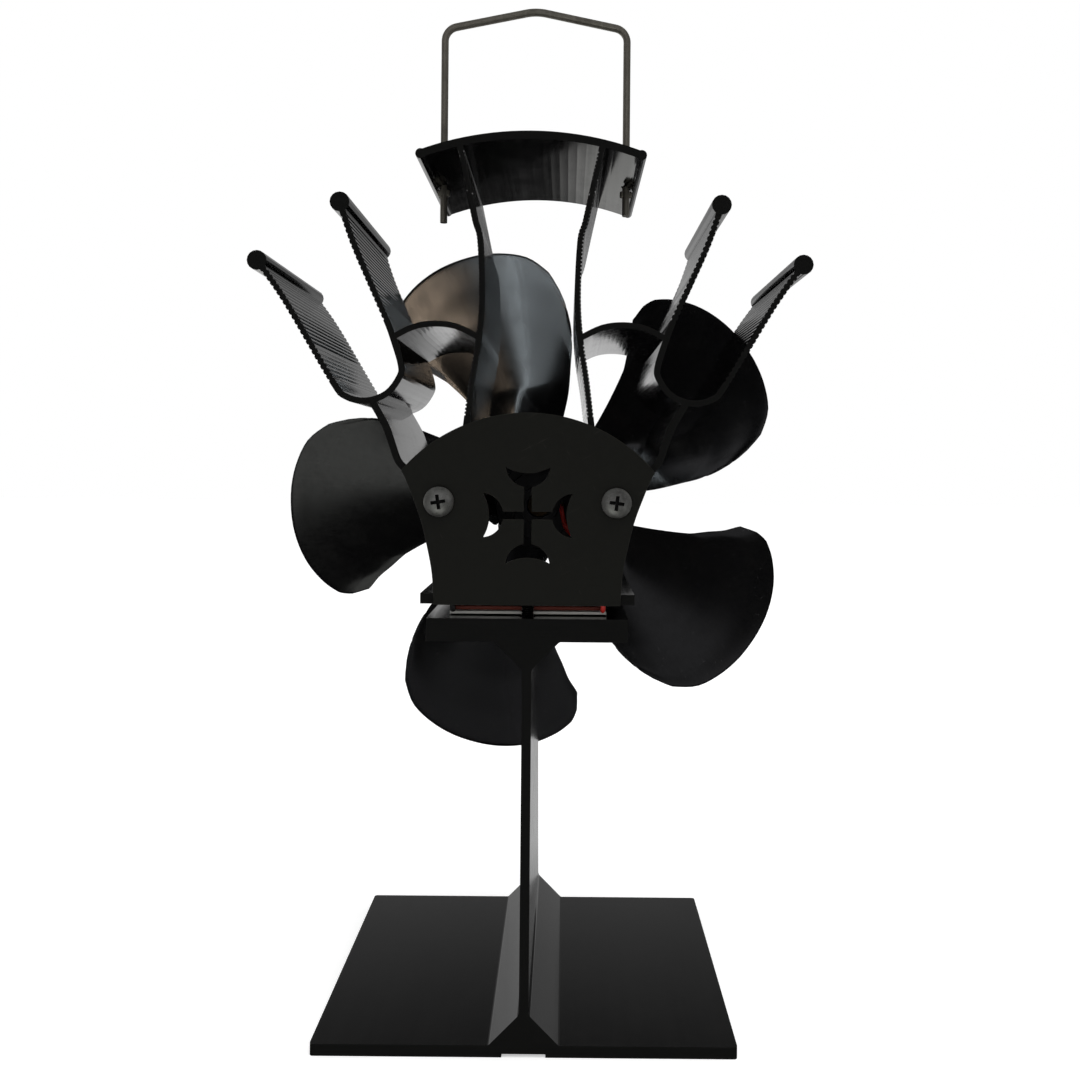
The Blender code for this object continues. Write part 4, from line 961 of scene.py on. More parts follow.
RED_SLEEVE = Finish(
    "red_silicone", (0.42, 0.014, 0.010), (0.52, 0.025, 0.018), (0.5, 0.1, 0.08), roughness=0.42,
    grain=1800.0, grain_relief=0.004 * MM, worn_and_highlighted_edges=0.0, dust=0.2, scratches=0.0, smudges=0.4,
    smudge_colour=(0.2, 0.01, 0.008),
)
BLACK_SLEEVE = Finish(
    "black_silicone", (0.010,) * 3, (0.016,) * 3, (0.05,) * 3, roughness=0.42, grain=1800.0,
    grain_relief=0.004 * MM, worn_and_highlighted_edges=0.0, dust=0.25, scratches=0.0, smudges=0.2,
)
END_CAP_PLASTIC = Finish(
    "moulded_plastic", (0.022, 0.022, 0.026), (0.035, 0.035, 0.04), (0.1,) * 3, roughness=0.45,
    grain=3800.0, grain_relief=0.006 * MM, worn_and_highlighted_edges=0.2, scratches=0.1, smudges=0.2,
)
FERRITE = Finish(
    "ferrite", (0.035, 0.034, 0.034), (0.065, 0.063, 0.062), (0.11, 0.1, 0.1), roughness=0.6, grain=2200.0,
    grain_relief=0.01 * MM, worn_and_highlighted_edges=0.5, dust=0.1,
)
BRONZE = TurnedFinish(
    "sintered_bronze", (0.04, 0.026, 0.014), (0.08, 0.053, 0.028), (0.4, 0.28, 0.14), roughness=0.36,
    metallic=1.0, grain=5200.0, grain_relief=0.006 * MM, worn_and_highlighted_edges=0.4, pitch=0.2 * MM,
)
BRASS_TAB = Finish(
    "tinned_tab", (0.48, 0.38, 0.2), (0.66, 0.58, 0.4), (0.7, 0.68, 0.6), roughness=0.32, metallic=1.0,
    worn_and_highlighted_edges=0.4, smudges=0.5, smudge_colour=(0.2, 0.14, 0.06),
)
COPPER = TurnedFinish(
    "commutator_copper", (0.5, 0.22, 0.1), (0.68, 0.33, 0.17), (0.75, 0.42, 0.25), roughness=0.3,
    metallic=1.0, smudges=0.6, smudge_colour=(0.12, 0.05, 0.03), pitch=0.15 * MM,
)
BRUSH_METAL = Finish(
    "brush_copper_graphite", (0.2, 0.11, 0.06), (0.32, 0.18, 0.1), (0.45, 0.3, 0.2), roughness=0.5,
    metallic=0.8, grain=5200.0, grain_relief=0.01 * MM,
)
WINDING = LayeredFinish(
    "enamelled_winding", (0.36, 0.12, 0.035), (0.55, 0.2, 0.06), (0.6, 0.3, 0.12), roughness=0.3,
    metallic=0.9, coat=0.4, worn_and_highlighted_edges=0.0, step=0.25 * MM, seam=(0.06, 0.015, 0.005), layer_relief=0.08 * MM,
)
LAMINATIONS = LayeredFinish(
    "core_laminations", (0.17, 0.17, 0.18), (0.27, 0.27, 0.28), (0.5,) * 3, roughness=0.42, metallic=1.0,
    worn_and_highlighted_edges=0.4, step=0.4 * MM, seam=(0.03,) * 3, layer_relief=0.02 * MM,
)
PELLETS = LayeredFinish(
    "pellet_rows", (0.14, 0.145, 0.16), (0.26, 0.27, 0.29), (0.4,) * 3, roughness=0.35, metallic=0.8,
    step=1.9 * MM, axis=0, seam=(0.01,) * 3, layer_relief=0.2 * MM,
)


def looking(facing: Facing, x: float, y: float, z: float) -> Matrix:
    """A place whose local Z looks one way."""
    return Matrix.Translation((x, y, z)) @ facing.value


def dress(piece: Thing, finish: Finish) -> None:
    """Give a new piece its one finish."""
    piece.data.materials.clear()
    piece.data.materials.append(finish.material())


def seat(piece: Thing, slot: str, finish: Finish, *nodes: str, body: Body = Body.FRAME) -> Thing:
    """Dress a finished piece, let it ride on its body and take the place of its solids.

    Args:
        piece: The finished piece.
        slot: The record's material slot; not used.
        finish: Its finish.
        nodes: The CAD nodes it stands for.
        body: The body it moves with.

    Returns:
        The same piece.
    """
    dress(piece, finish)
    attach(piece, body.value)
    if nodes:
        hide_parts(*nodes)
    LOG.info("%s: %d faces, stands for %s", piece.name, len(piece.data.polygons), ", ".join(nodes))
    return piece


def repaint(finish: Finish, *nodes: str) -> None:
    """Give CAD nodes that stay a better finish."""
    for name in nodes:
        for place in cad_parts[name].material_slots:
            place.material = finish.material()
        LOG.info("%s keeps its solid, finish %s", name, finish.name)


# Sub-assemblies


@dataclass
class Stand:
    """Foot, web and flange in one extrusion, cut back on the far side."""

    foot_half: float = 53.6 * MM
    foot_far_y: float = 35.0 * MM
    foot_thickness: float = 3.0 * MM
    channel_half: float = 5.5 * MM
    channel_depth: float = 0.85 * MM
    web_half: float = 1.2 * MM
    foot_root: float = 7.6 * MM
    flange_root: float = 6.95 * MM
    flange_half: float = 25.3 * MM
    flange_z: float = 103.9 * MM
    corner_radius: float = 0.8 * MM
    root_round: float = 0.9 * MM
    edge: float = 0.16 * MM
    hole_low: float = 101.4 * MM
    hole_high: float = 112.0 * MM

    def outline(self) -> list[Vector]:
        """The extrusion's section, with small rounds at its roots.

        Returns:
            The section's (x, z) points.
        """
        half = [
            (self.channel_half, self.channel_depth, 0.15 * MM),
            (self.channel_half, 0, 0.15 * MM),
            (self.foot_half, 0, 0),
            (self.foot_half, self.foot_thickness, 0),
            (self.web_half + self.foot_root, self.foot_thickness, self.root_round),
            (self.web_half, self.foot_thickness + self.foot_root, self.root_round * 2),
            (self.web_half, self.flange_z - self.flange_root, self.root_round * 2),
            (self.web_half + self.flange_root, self.flange_z, self.root_round),
            (self.flange_half, self.flange_z, 0),
            (self.flange_half, STAND_TOP_Z, 0),
        ]
        both = half + [(-x, z, r) for x, z, r in reversed(half)]
        return fillet([(x, z) for x, z, _ in both], [r for _, _, r in both])

    def build(self) -> Thing:
        """Extrude the section, file its corners, cut it back and drill it.

        Returns:
            The stand.
        """
        stand = plate("stand", self.outline(), NEAR_FACE_Y, self.foot_far_y)
        side = self.foot_half - 0.01 * MM

        def upright(low: Vector, high: Vector) -> bool:
            """An upright edge at the foot's side."""
            return abs(low.x) > side and abs(high.x) > side and abs(low.z - high.z) > MM

        round_edges(stand, upright, self.corner_radius)
        past_y, past_z = self.foot_far_y + OVERRUN, STAND_TOP_Z + OVERRUN
        low_z = self.foot_thickness + self.foot_root
        slant = [
            (self.foot_far_y, low_z), (SINK_FAR_Y, self.flange_z), (SINK_FAR_Y, past_z),
            (past_y, past_z), (past_y, low_z),
        ]
        carve(stand, side_plate("cutter", slant, self.flange_half + OVERRUN))
        soften(stand, self.edge, 2, 40)
        for y in CLAMP_YS:
            hole = Matrix.Translation((0, y, 0))
            carve(stand, rod(FREE_HOLE_RADIUS, self.hole_low, self.hole_high, hole))
        return seat(even_out(close_up(stand)), "black_anodised", EXTRUSION, "base_stand")


@dataclass
class Module:
    """The thermoelectric module: two ceramic plates, the seal between them and its pellets."""

    side: float = 40.0 * MM
    plate_thickness: float = 0.7 * MM
    pellet_height: float = 1.0 * MM
    seal_width: float = 1.2 * MM
    tile_edge: float = 0.08 * MM
    seal_edge: float = 0.32 * MM

    def corners(self, inset: float, low_z: float, high_z: float) -> tuple[Vector, Vector]:
        """Low and high corner of a square layer."""
        half = self.side / 2 - inset
        low = Vector((-half, SINK_MIDDLE_Y - half, low_z))
        return low, Vector((half, SINK_MIDDLE_Y + half, high_z))

    def build(self) -> None:
        """Build the layers from the hot side up."""
        hot_z = STAND_TOP_Z + GAP
        seal_z = hot_z + self.plate_thickness + GAP
        cold_z = seal_z + self.pellet_height + GAP
        for name, z in (("hot", hot_z), ("cold", cold_z)):
            tile = block(name + "_tile", *self.corners(0, z, z + self.plate_thickness))
            soften(tile, self.tile_edge, 2, 40)
            seat(even_out(close_up(tile)), "white_ceramic", CERAMIC, f"teg_{name}_ceramic")
        seal = block("seal_bead", *self.corners(0, seal_z, seal_z + self.pellet_height))
        cut_top = seal_z + self.pellet_height + OVERRUN
        carve(seal, block("cutter", *self.corners(self.seal_width, seal_z - OVERRUN, cut_top)))
        soften(seal, self.seal_edge, 4, 40)
        seat(close_up(seal, 60), "red_seal", SEAL, "teg_seal")
        repaint(PELLETS, "teg_pellets")


@dataclass
class Sink:
    """The finned extrusion, with ribs along both faces of its fins."""

    fin_thickness: float = 1.6 * MM
    bead_free: float = 3.4 * MM
    centre_free: Pair = (3.2 * MM, 1.9 * MM)
    arch_free: float = 1.9 * MM
    rib_pitch: float = 1.44 * MM
    groove_width: float = 0.74 * MM
    groove_depth: float = 0.26 * MM
    centre_share: float = 0.68
    centre_depth: float = 0.32 * MM
    smooth_x: float = 0.715 * SINK_HALF_WIDTH
    smooth_z: float = SINK_FOOT_Z + 0.60 * SINK_HEIGHT
    fin_rows: Rows = (
        (1.000, 0.722), (0.896, 0.638), (0.722, 0.470), (0.671, 0.436), (0.595, 0.427),
        (0.520, 0.443), (0.474, 0.478), (0.469, 0.503), (0.496, 0.555), (0.523, 0.597),
        (0.589, 0.682), (0.651, 0.765), (0.699, 0.847),
    )
    centre_rows: Rows = (
        (0.230, 0.372), (0.209, 0.472), (0.186, 0.557), (0.175, 0.647), (0.183, 0.768),
        (0.202, 0.810), (0.234, 0.897), (0.263, 0.975),
    )

    @staticmethod
    def point(row: Pair) -> Vector:
        """A point of the section from its shares of half width and height."""
        return Vector((row[0] * SINK_HALF_WIDTH, SINK_FOOT_Z + row[1] * SINK_HEIGHT))

    def path(self, rows: Sequence[Pair]) -> list[Vector]:
        """A fin's smooth middle line."""
        return smooth_path([self.point(row) for row in rows], 16)

    def stations(self, path: Sequence[Vector], pitch: float, start: float, end: float) -> list[tuple]:
        """Evenly spaced places on a path with their sideways directions.

        Args:
            path: The fin's middle line.
            pitch: Spacing along it.
            start: Length left free at its first end.
            end: Length left free at its last end.

        Returns:
            (point, unit vector to the path's left) for each place.
        """
        lengths = [0.0]
        for before, after in zip(path, path[1:]):
            lengths.append(lengths[-1] + (after - before).length)
        made = []
        at = start
        while at < lengths[-1] - end:
            index = max(i for i, length in enumerate(lengths[:-1]) if length <= at)
            along = path[index + 1] - path[index]
            point = path[index] + along * (at - lengths[index]) / along.length
            made.append((point, Vector((-along.y, along.x)).normalized()))
            at += pitch
        return made

    def groove(self, point: Vector, out: Vector, size: float) -> list[Vector]:
        """A groove's section on the face that lies out from the middle line.

        Args:
            point: A place on the fin's middle line.
            out: The way out to the face.
            size: 1 on the outer fins, less on the middle ones.

        Returns:
            The section's (x, z) points.
        """
        along = Vector((out.y, -out.x))
        face = point + out * self.fin_thickness / 2
        top = self.groove_width / 2 * size
        floor = face - out * (self.groove_depth if size == 1 else self.centre_depth)
        bottom = top * 0.45
        lift = face + out * 0.25 * MM
        return [
            lift + along * top * 1.3, face + along * top, floor + along * bottom,
            floor - along * bottom, face - along * top, lift - along * top * 1.3,
        ]

    def cutter(self) -> Thing:
        """All grooves of both sides as one object of separate bars.

        Returns:
            The cutter.
        """
        sections = []
        rows = (
            (self.path(self.fin_rows), self.bead_free, self.bead_free, 1.0),
            (self.path(self.centre_rows), *self.centre_free, self.centre_share),
        )
        for path, start, end, size in rows:
            for point, left in self.stations(path, self.rib_pitch * size, start, end):
                if size == 1 and point.x < self.smooth_x and point.y < self.smooth_z:
                    continue
                for out in (left, -left):
                    if not self.on_arch(point + out * self.fin_thickness / 2):
                        section = self.groove(point, out, size)
                        sections += [section, [Vector((-x, z)) for x, z in section]]
        low, high = NEAR_FACE_Y - OVERRUN, SINK_FAR_Y + OVERRUN
        return join([plate("bar", section, low, high) for section in sections])

    def on_arch(self, point: Vector) -> bool:
        """Whether a face point lies where an arch or a wall meets the fin."""
        meets = ((0.186, 0.563), (0.500, 0.562), (0.595, 0.427), (0.230, 0.372))
        near = [(self.point(row) - Vector((abs(point.x), point.y))).length for row in meets]
        return min(near) < self.arch_free

    def build(self) -> Thing:
        """Copy the solid, merge its loose triangles and cut the grooves."""
        sink = copy_of(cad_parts["heat_sink"], "finned_sink", Matrix.Identity(4))
        with editing(close_up(sink)):
            bpy.ops.mesh.dissolve_limited(angle_limit=math.radians(0.5))
        carve(sink, self.cutter())
        return seat(even_out(close_up(sink, 28)), "black_anodised", EXTRUSION, "heat_sink")


@dataclass
class PanScrew:
    """A pan-head screw with a cross recess."""

    head_radius: float = 3.75 * MM
    head_height: float = 1.9 * MM
    shank_radius: float = 1.6 * MM
    length: float = 8.0 * MM
    thread_pitch: float = 0.7 * MM
    recess_span: float = 4.2 * MM
    recess_width: float = 1.15 * MM
    recess_depth: float = 1.6 * MM
    taper: Pair = (0.72, 0.42)
    rim: float = 0.12 * MM
    plain: float = 0.6 * MM
    crown_out: float = 0.92
    crown_up: float = 0.8
    crown_foot: float = 0.3

    def crown(self, turn: float) -> float:
        """The crown's height at an angle from its middle, 0, to its rim, a quarter turn."""
        foot = self.crown_foot
        return self.head_height * (foot + (1 - foot) * math.cos(turn) ** self.crown_up)

    def profile(self) -> list[Pair]:
        """Head and threaded shank from the crown's middle to the tip.

        Returns:
            (radius, height) points.
        """
        points = [(0.0, self.head_height)]
        for step in range(1, 13):
            turn = math.pi / 2 * step / 12
            points.append((self.head_radius * math.sin(turn) ** self.crown_out, self.crown(turn)))
        points += [(self.head_radius, self.rim), (self.head_radius - self.rim, 0.0)]
        shank, along = self.shank_radius, -self.plain
        points.append((shank, 0.0))
        while along > -self.length + 2 * self.thread_pitch:
            points += [(shank, along), (shank * 0.82, along - self.thread_pitch / 2)]
            along -= self.thread_pitch
        return points + [(shank * 0.8, along), (0.0, -self.length)]

    def recess(self, place: Matrix, turned: bool) -> Thing:
        """One tapered bar of the cross-shaped cutter.

        Args:
            place: The screw's own frame.
            turned: Whether it is the bar across.

        Returns:
            The cutter.
        """
        span, width, share = self.recess_span / 2, self.recess_width / 2, self.taper
        if turned:
            span, width, share = width, span, share[::-1]
        low = self.head_height - self.recess_depth
        bar = block("cutter", (-span, -width, low), (span, width, self.head_height + MM))
        select_faces(bar, lambda middle, normal: normal.z < -0.5)
        bpy.ops.transform.resize(value=(*share, 1), center_override=(0, 0, low))
        bpy.ops.object.mode_set(mode="OBJECT")
        bar.matrix_world = place
        settle(bar)
        return bar

    def build(self, name: str, place: Matrix, turn: float) -> Thing:
        """Make a screw.

        Args:
            name: The piece's name.
            place: Where the underside of its head sits, its crown along local Z.
            turn: How far the recess is turned, in degrees.

        Returns:
            The screw.
        """
        place = place @ Matrix.Rotation(math.radians(turn), 4, "Z")
        screw = lathe(name, self.profile(), place, 48)
        carve(screw, self.recess(place, False))
        carve(screw, self.recess(place, True))
        return close_up(screw, 30)

    def fit(self, node: str, place: Matrix, turn: float) -> None:
        """Make the screw that stands for a node and paint shade into its recess.

        Args:
            node: The node's name.
            place: Where the underside of its head sits.
            turn: How far the recess is turned, in degrees.
        """
        screw = seat(self.build(node + "_head", place, turn), "screw_steel", ZINC, node)
        # The recess faces take this dark material, painted shade inside the recess
        screw.data.materials.append(RECESS_PAINTED_SHADE.material())
        back = place.inverted()

        def sunk(middle: Vector, normal: Vector) -> bool:
            """A face of the recess."""
            spot = back @ middle
            out = math.hypot(spot.x, spot.y)
            turned = math.asin(min(1, out / self.head_radius) ** (1 / self.crown_out))
            return out < self.recess_span * 0.56 and 0 < spot.z < self.crown(turned) - 0.1 * MM

        select_faces(screw, sunk)
        screw.active_material_index = 1
        bpy.ops.object.material_slot_assign()
        bpy.ops.object.mode_set(mode="OBJECT")


@dataclass
class Cover:
    """The plate over the motor chamber with its vent cut-out and two screws."""

    thickness: float = 1.5 * MM
    wall: float = 1.8 * MM
    cross_z: float = 135.6 * MM
    up_reach: float = 12.0 * MM
    side_reach: float = 11.1 * MM
    bar: float = 1.9 * MM
    half_span: float = 5.5 * MM
    depth: float = 5.0 * MM
    hollow: float = 1.5 * MM
    edge: float = 0.14 * MM
    screw_turns: Pair = (9, -7)
    wall_rows: Rows = (
        (0.326, 0.010), (0.334, 0.069), (0.352, 0.124), (0.374, 0.176), (0.402, 0.222),
        (0.441, 0.276), (0.477, 0.302), (0.503, 0.344), (0.526, 0.378), (0.575, 0.427),
    )

    def outline(self) -> list[Vector]:
        """The plate's edge: it follows the chamber's walls and its arched top.

        Returns:
            The (x, z) points.
        """
        spring = Sink.point((0.461, 0.281))
        top = SINK_FOOT_Z + 0.404 * SINK_HEIGHT
        radius = chord_radius(spring.x, top - spring.y)
        centre = Vector((0, top - radius))
        path = smooth_path([Sink.point(row) for row in self.wall_rows], 8)
        edge = []
        for index, point in enumerate(path):
            along = (path[min(index + 1, len(path) - 1)] - path[max(index - 1, 0)]).normalized()
            edge.append(point + Vector((along.y, -along.x)) * self.wall / 2)
        right = [point for point in edge if (point - centre).length < radius]
        corner = right[-1] - centre
        right = [Vector((right[0].x, SINK_FOOT_Z))] + right
        right += arc(centre, radius, math.atan2(corner.y, corner.x), math.pi / 2, 40)[1:]
        return right + [Vector((-point.x, point.y)) for point in reversed(right[:-1])]

    def arm(self, reach: float) -> list[Pair]:
        """Right half of one arm of the vent, from its foot out to its crescent's tip.

        Args:
            reach: How far the arm reaches from the vent's middle.

        Returns:
            Its points.
        """
        base = reach - self.depth
        inner = chord_radius(self.half_span, self.depth)
        start = math.asin(self.bar / 2 / inner)
        end = math.asin(min(1, self.half_span / inner))
        points = [(self.bar / 2, self.bar / 2)]
        for step in range(15):
            turn = start + (end - start) * step / 14
            points.append((inner * math.sin(turn), base + inner - inner * math.cos(turn)))
        outer = chord_radius(self.half_span, self.hollow)
        sweep = math.asin(self.half_span / outer)
        for step in range(1, 13):
            turn = sweep * (1 - step / 12)
            points.append((outer * math.sin(turn), reach - self.hollow + outer - outer * math.cos(turn)))
        return points

    def vent(self) -> list[Vector]:
        """The vent's whole outline.

        Returns:
            The (x, z) points.
        """
        loop = []
        for turn, reach in enumerate((self.up_reach, self.side_reach) * 2):
            right = self.arm(reach)
            left = [(-x, z) for x, z in right[1:-1]]
            spin = Matrix.Rotation(-turn * math.pi / 2, 2)
            loop += [spin @ Vector(point) + Vector((0, self.cross_z)) for point in left + right[::-1]]
        return loop

    def build(self) -> None:
        """Cut the plate and drive its screws."""
        far = NEAR_FACE_Y - GAP
        near = far - self.thickness
        cover = plate("cover", self.outline(), near, far)
        carve(cover, plate("cutter", self.vent(), near - OVERRUN, far + OVERRUN))
        for side, _ in SIDES:
            hole = looking(Facing.FAR, side * COVER_SCREW_X, 0, COVER_SCREW_Z)
            carve(cover, rod(FREE_HOLE_RADIUS, near - OVERRUN, far + OVERRUN, hole))
        soften(cover, self.edge, 2, 40)
        seat(even_out(close_up(cover)), "black_plate", COVER_PAINT, "cover_plate")
        for (side, word), turn in zip(SIDES, self.screw_turns):
            place = looking(Facing.NEAR, side * COVER_SCREW_X, near - GAP, COVER_SCREW_Z)
            PanScrew().fit(f"cover_screw_{word}", place, turn)


@dataclass
class Clamps:
    """Two socket screws and washers that pull the sink down on the module."""

    shank_radius: float = 1.6 * MM
    head_radius: float = 2.6 * MM
    head_height: float = 2.6 * MM
    head_edge: float = 0.3 * MM
    rim: float = 0.12 * MM
    socket_radius: float = 1.45 * MM
    socket_depth: float = 1.3 * MM
    washer_thickness: float = 0.5 * MM
    tip_z: float = 101.7 * MM
    thread_pitch: float = 0.5 * MM

    def screw_profile(self, head_z: float) -> list[Pair]:
        """Chamfered head and threaded shank.

        Args:
            head_z: Height of the head's underside.

        Returns:
            (radius, height) points.
        """
        top = head_z + self.head_height
        head, shank, edge = self.head_radius, self.shank_radius, self.head_edge
        points = [(0.0, top), (head - edge, top), (head, top - edge), (head, head_z + 0.1 * MM)]
        points += [(head - 0.1 * MM, head_z), (shank, head_z)]
        z = head_z - 0.9 * MM
        while z > self.tip_z + self.thread_pitch:
            points += [(shank, z), (shank * 0.86, z - self.thread_pitch / 2)]
            z -= self.thread_pitch
        return points + [(shank * 0.8, self.tip_z), (0.0, self.tip_z)]

    def build(self) -> None:
        """Turn both screws and washers and press the sockets."""
        washer_z = SINK_FLOOR_Z + GAP
        washer_top = washer_z + self.washer_thickness
        head_z = washer_top + GAP
        top = head_z + self.head_height
        bore, outside = self.shank_radius + GAP, self.head_radius
        low, high, inside = washer_z + self.rim, washer_top - self.rim, outside - self.rim
        ring = [
            (bore, washer_z), (bore, washer_top), (inside, washer_top), (outside, high), (outside, low),
            (inside, washer_z),
        ]
        for y, word in zip(CLAMP_YS, ("near", "far")):
            place = Matrix.Translation((0, y, 0))
            washer = lathe(f"washer_{word}", ring, place, 48)
            seat(washer, "screw_steel", ZINC, f"clamp_washer_{word}")
            screw = lathe(f"socket_screw_{word}", self.screw_profile(head_z), place, 48)
            carve(screw, rod(self.socket_radius, top - self.socket_depth, top + OVERRUN, place, 6))
            seat(close_up(screw, 30), "dark_steel", BLACK_OXIDE, f"clamp_screw_{word}")


@dataclass
class Motor:
    """The motor's outside in detail; its turning inside keeps the solids."""

    radius: float = 12.0 * MM
    wall: float = 0.8 * MM
    front: float = SINK_FAR_Y
    rear: float = -14.5 * MM
    boss_radius: float = 5.5 * MM
    boss_height: float = 0.35 * MM
    shoulder: float = 1.3 * MM
    screw_spacing: float = 15.0 * MM
    vent: Triple = (1.8 * MM, 3.8 * MM, 4.0 * MM)
    vent_middle: Pair = (7.4 * MM, 11.0 * MM)
    vent_turns: tuple[float, ...] = (60, 120, 240, 300)
    stake: Pair = (2.2 * MM, 1.2 * MM)
    stake_up: float = 1.5 * MM
    stake_depth: float = 0.35 * MM
    stake_turns: tuple[float, ...] = (90, 210, 330)
    cap_thickness: float = 1.5 * MM
    cap_ring: Pair = (5.4 * MM, 9.4 * MM)
    tab: Triple = (0.5 * MM, 3.6 * MM, 2.2 * MM)
    tab_round: float = 0.6 * MM
    tab_hole_radius: float = 0.45 * MM
    shaft_radius: float = 1.0 * MM
    shaft_far: float = 36.4 * MM

    def axis(self) -> Matrix:
        """The motor's axis, local Z towards the wheel."""
        return looking(Facing.FAR, AXIS_X, 0, AXIS_Z)

    def can_profile(self) -> list[Pair]:
        """A drawn can with a rounded shoulder and a raised boss round its bush.

        Returns:
            (radius, depth) points.
        """
        face = self.front - self.boss_height
        inner, floor = self.radius - self.wall, face - self.wall
        boss = self.boss_radius
        points = [(BUSH_RADIUS, self.front), (boss - 0.3 * MM, self.front), (boss, face)]
        centre = (self.radius - self.shoulder, face - self.shoulder)
        points += [tuple(point) for point in arc(centre, self.shoulder, math.pi / 2, 0, 8)]
        points += [(self.radius, self.rear + 0.1 * MM), (self.radius - 0.1 * MM, self.rear)]
        return points + [(inner, self.rear), (inner, floor), (BUSH_RADIUS, floor)]

    def build_can(self) -> None:
        """Turn the can, drill its screw holes, cut its vents and stake its rim."""
        can = lathe("motor_can", self.can_profile(), self.axis(), 96)
        for x in self.screw_xs():
            hole = looking(Facing.FAR, x, 0, AXIS_Z)
            carve(can, rod(MOTOR_SCREW_HOLE_RADIUS, self.front - 3 * MM, self.front + OVERRUN, hole))
        out, along = self.vent_middle
        middle, half = Vector((0, 0, along)), Vector(self.vent) / 2
        for turn in map(math.radians, self.vent_turns):
            place = looking(Facing.FAR, AXIS_X + math.cos(turn) * out, 0, AXIS_Z + math.sin(turn) * out)
            place = place @ Matrix.Rotation(-turn, 4, "Z")
            carve(can, block("cutter", middle - half, middle + half, place))
        across, up = self.stake
        low = (self.radius - self.stake_depth, -across / 2, self.rear + self.stake_up - up / 2)
        high = (self.radius + OVERRUN, across / 2, self.rear + self.stake_up + up / 2)
        for turn in map(math.radians, self.stake_turns):
            carve(can, block("cutter", low, high, self.axis() @ Matrix.Rotation(turn, 4, "Z")))
        seat(close_up(can, 30), "bright_steel", CAN_STEEL, "motor_case")

    def screw_xs(self) -> Pair:
        """Sideways places of the motor's two screws."""
        return AXIS_X - self.screw_spacing / 2, AXIS_X + self.screw_spacing / 2

    def build_end_cap(self) -> None:
        """Turn the moulded cap with its raised ring and cut its tab slots."""
        far = self.rear - GAP
        near = far - self.cap_thickness
        inner = self.radius - self.wall - GAP
        spigot = self.rear + 1.5 * MM
        low_ring, high_ring = self.cap_ring
        profile = [
            (BUSH_RADIUS, spigot), (inner - 0.2 * MM, spigot), (inner, spigot - 0.2 * MM), (inner, far),
            (self.radius, far), (self.radius, near + 0.5 * MM), (self.radius - 0.3 * MM, near + 0.2 * MM),
            (high_ring + 0.2 * MM, near + 0.2 * MM), (high_ring, near + 0.55 * MM),
            (low_ring, near + 0.55 * MM), (low_ring - 0.2 * MM, near),
            (BUSH_RADIUS + 0.15 * MM, near), (BUSH_RADIUS, near + 0.15 * MM),
        ]
        cap = lathe("motor_cap", profile, self.axis(), 96)
        slot = Vector((0.6 * MM, 0, 1.5 * MM))
        for side, _ in SIDES:
            middle = Vector((AXIS_X + side * TERMINAL_SPACING / 2, near, AXIS_Z))
            low, high = middle - slot - Vector((0, OVERRUN, 0)), middle + slot + Vector((0, 0.9 * MM, 0))
            carve(cap, block("cutter", low, high))
        seat(close_up(cap, 30), "black_plastic", END_CAP_PLASTIC, "motor_end_cap")

    def build_tabs(self) -> None:
        """Press both terminals, with a hole and rounded ends."""
        far = self.rear - 2 * GAP - self.cap_thickness
        half = Vector(self.tab) / 2

        def end_corner(low_end: Vector, high_end: Vector) -> bool:
            """An edge across the tab's far end."""
            return max(low_end.y, high_end.y) < far - half.y and abs(low_end.x - high_end.x) > half.x

        for side, word in SIDES:
            middle = Vector((AXIS_X + side * TERMINAL_SPACING / 2, far - half.y, AXIS_Z))
            tab = block(f"terminal_{word}", middle - half, middle + half)
            round_edges(tab, end_corner, self.tab_round)
            place = Matrix.Translation(middle - Vector((0, 0.1 * MM, 0)))
            through = place @ Matrix.Rotation(math.pi / 2, 4, "Y")
            carve(tab, rod(self.tab_hole_radius, -OVERRUN, OVERRUN, through, 20))
            soften(tab, 0.06 * MM, 2, 40)
            seat(close_up(tab), "bronze", BRASS_TAB, f"motor_terminal_{word}")

    def build_shaft(self) -> None:
        """Turn the shaft with chamfered ends."""
        radius, low, high, edge = self.shaft_radius, self.rear - 1.5 * MM, self.shaft_far, 0.2 * MM
        profile = [
            (0.0, high), (radius - edge, high), (radius, high - edge), (radius, low + edge),
            (radius - edge, low), (0.0, low),
        ]
        shaft = lathe("shaft", profile, self.axis(), 32)
        seat(shaft, "bright_steel", SHAFT_STEEL, "motor_shaft", body=Body.ROTOR)

    def build(self) -> None:
        """Build the outside and repaint the inside."""
        self.build_can()
        self.build_end_cap()
        self.build_tabs()
        self.build_shaft()
        repaint(FERRITE, "motor_magnet_left", "motor_magnet_right")
        repaint(BRONZE, "motor_rear_bush", "motor_front_bush")
        repaint(BRUSH_METAL, "motor_brush_left", "motor_brush_right")
        repaint(LAMINATIONS, "motor_armature")
        repaint(WINDING, "motor_coil_a", "motor_coil_b", "motor_coil_c")
        repaint(COPPER, "motor_commutator")


